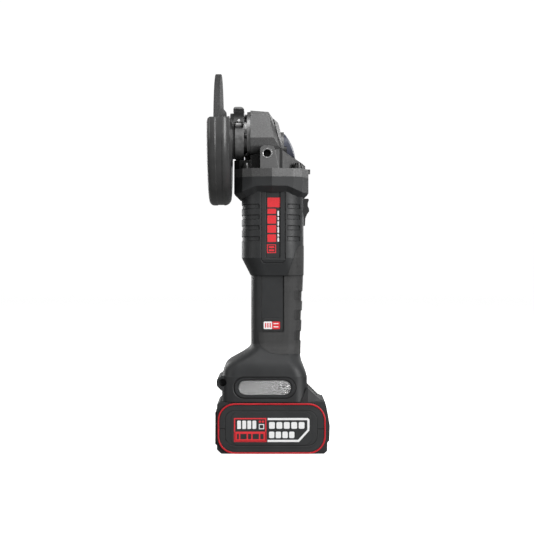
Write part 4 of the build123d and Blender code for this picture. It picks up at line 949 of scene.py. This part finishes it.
def pack_print():
    """Charge pictogram in a red box and a framed row of cells, in place of lettering."""
    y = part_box("pack_side_covers")[0].y
    left, right, low, high, split = -37.9, -6.0, 12.2, 35.8, 22.4
    red = [
        print_frame([(left, low), (right, low), (right, high), (left, high)], 1.2, y),
        print_shape(bar(left + 0.6, right - 0.6, low + 0.6, split, 0.4), y),
    ]
    for x, width in ((-13.4, 2.2), (-10.4, 2.2)):
        red.append(print_shape(bar(x, x + width, high - 4.6, high - 2.6, 0.3), y))
    white = []
    for i in range(4):
        x = left + 3.2 + i * 5.0
        white.append(print_shape(bar(x, x + 3.7, split + 2.6, high - 2.6, 0.8), y))
    square = [(-13.4, split + 2.4), (-8.2, split + 2.4), (-8.2, high - 6.0), (-13.4, high - 6.0)]
    white.append(print_frame(square, 0.8, y))
    dark = []
    x = left + 2.9
    for width in (2.0, 6.2, 3.2, 6.2, 3.2):
        dark.append(print_shape(bar(x, x + width, low + 2.7, split - 2.2, 0.5), y - INK))
        x += width + 1.35
    line = 2.1
    open_frame = (
        (-4.8, low), (26.1, low), (36.4, 23.6), (36.4, high - 1.6), (34.8, high), (-4.8, high),
        (-4.8, high - line), (33.8, high - line), (34.3, high - line - 0.5), (34.3, 24.3),
        (25.1, low + line), (-4.8, low + line),
    )
    white.append(print_shape([(px * MM, pz * MM) for px, pz in open_frame], y))
    for i in range(5):
        x = -3.4 + i * 7.3
        white.append(print_shape(bar(x, x + 5.7, 25.2, 31.8, 1.2), y))
    for i in range(4):
        x = -3.4 + i * 6.6
        white.append(print_shape(bar(x, x + 5.2, 16.0, 22.4, 1.2), y))
    add_print("pack_red", red, "battery_pack", "red_ink")
    add_print("pack_white", white, "battery_pack", "white_ink")
    add_print("pack_dark", dark, "battery_pack", "dark_ink")


def motor_print():
    """Column of plain red blocks with a fine dashed line, in place of lettering."""
    y = MOTOR_PANEL_Y
    red = []
    z = 253.2
    for height, x1 in ((9.6, 8.0), (5.0, 3.6), (8.2, 3.6), (7.6, 3.6), (7.6, 3.6)):
        red.append(print_shape(bar(-5.0, x1, z - height, z, 0.5), y))
        z -= height + 1.5
    red.append(print_frame([(-5.4, 198.2), (3.5, 198.2), (3.5, 206.8), (-5.4, 206.8)], 0.8, y))
    red.append(print_shape(bar(-3.6, 1.7, 200.0, 201.9, 0.4), y))
    red.append(print_shape(bar(-3.6, 1.7, 203.1, 205.0, 0.4), y))
    white = []
    z = 240.2
    for length in (5.2, 3.0, 4.4, 6.0, 2.6, 4.0):
        white.append(print_shape(bar(5.0, 6.5, z - length, z, 0.5), y))
        z -= length + 1.1
    add_print("motor_red", red, "housing", "red_ink")
    add_print("motor_white", white, "housing", "white_ink")


def grip_print():
    """Small two-colour tag on the grip panel."""
    y = GRIP_PANEL_Y
    white = [
        print_shape(bar(-8.7, -0.4, 122.5, 130.0, 0.8), y),
        print_shape(bar(1.2, 6.0, 127.4, 128.4, 0.3), y - INK),
        print_shape(bar(1.2, 6.0, 124.2, 125.2, 0.3), y - INK),
    ]
    red = [print_shape(bar(-0.3, 7.6, 122.5, 130.0, 0.8), y)]
    for x in (-7.4, -5.1, -2.8):
        red.append(print_shape(bar(x, x + 1.2, 123.9, 128.6, 0.4), y - INK))
    add_print("grip_white", white, "housing", "white_ink")
    add_print("grip_red", red, "housing", "red_ink")


make_rings()
make_neck_rib()
pack_print()
motor_print()
grip_print()


# ---------------------------------------------------------------- wheel label
TICKS = 36
LINE_T = 0.00008


def annulus(r0, r1, x_face, thickness, steps=96):
    """Flat ring about the spindle axis whose printed face looks toward -X."""
    bm = bmesh.new()
    rings = []
    for r, x in ((r0, x_face + thickness), (r0, x_face), (r1, x_face), (r1, x_face + thickness)):
        angles = [2 * math.pi * k / steps for k in range(steps)]
        rings.append([bm.verts.new((x, r * math.sin(a), SPINDLE_Z + r * math.cos(a))) for a in angles])
    skin(bm, rings, closed=True)
    return to_mesh(bm, "annulus")


def wheel_label():
    """Paper label on the wheel's rim face, with plain rings and ticks."""
    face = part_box("grinding_disc")[0].x
    line_x = face - 0.0002
    half_w = 0.00035
    end = 0.0555
    label = annulus(0.0385, 0.0575, face - 0.00012, 0.0001)
    add_piece("wheel_label", label, "spindle", "label_dark")
    lines = [annulus(0.0391, 0.0396, line_x, LINE_T), annulus(0.0564, 0.0569, line_x, LINE_T)]
    for k in range(TICKS):
        a = 2 * math.pi * k / TICKS
        start = end - (0.004 if k % 3 == 0 else 0.002)
        bm = bmesh.new()
        rings = []
        for x in (line_x, line_x + LINE_T):
            ring = []
            for r, w in ((start, -half_w), (end, -half_w), (end, half_w), (start, half_w)):
                y = r * math.sin(a) + w * math.cos(a)
                ring.append(bm.verts.new((x, y, SPINDLE_Z + r * math.cos(a) - w * math.sin(a))))
            rings.append(ring)
        skin(bm, rings)
        lines.append(to_mesh(bm, "tick"))
    joined = join_meshes("wheel_label_lines", lines)
    add_piece("wheel_label_lines", joined, "spindle", "white_ink")
    band = annulus(0.0405, 0.0425, line_x, LINE_T)
    add_piece("wheel_label_band", band, "spindle", "red_ink")


wheel_label()
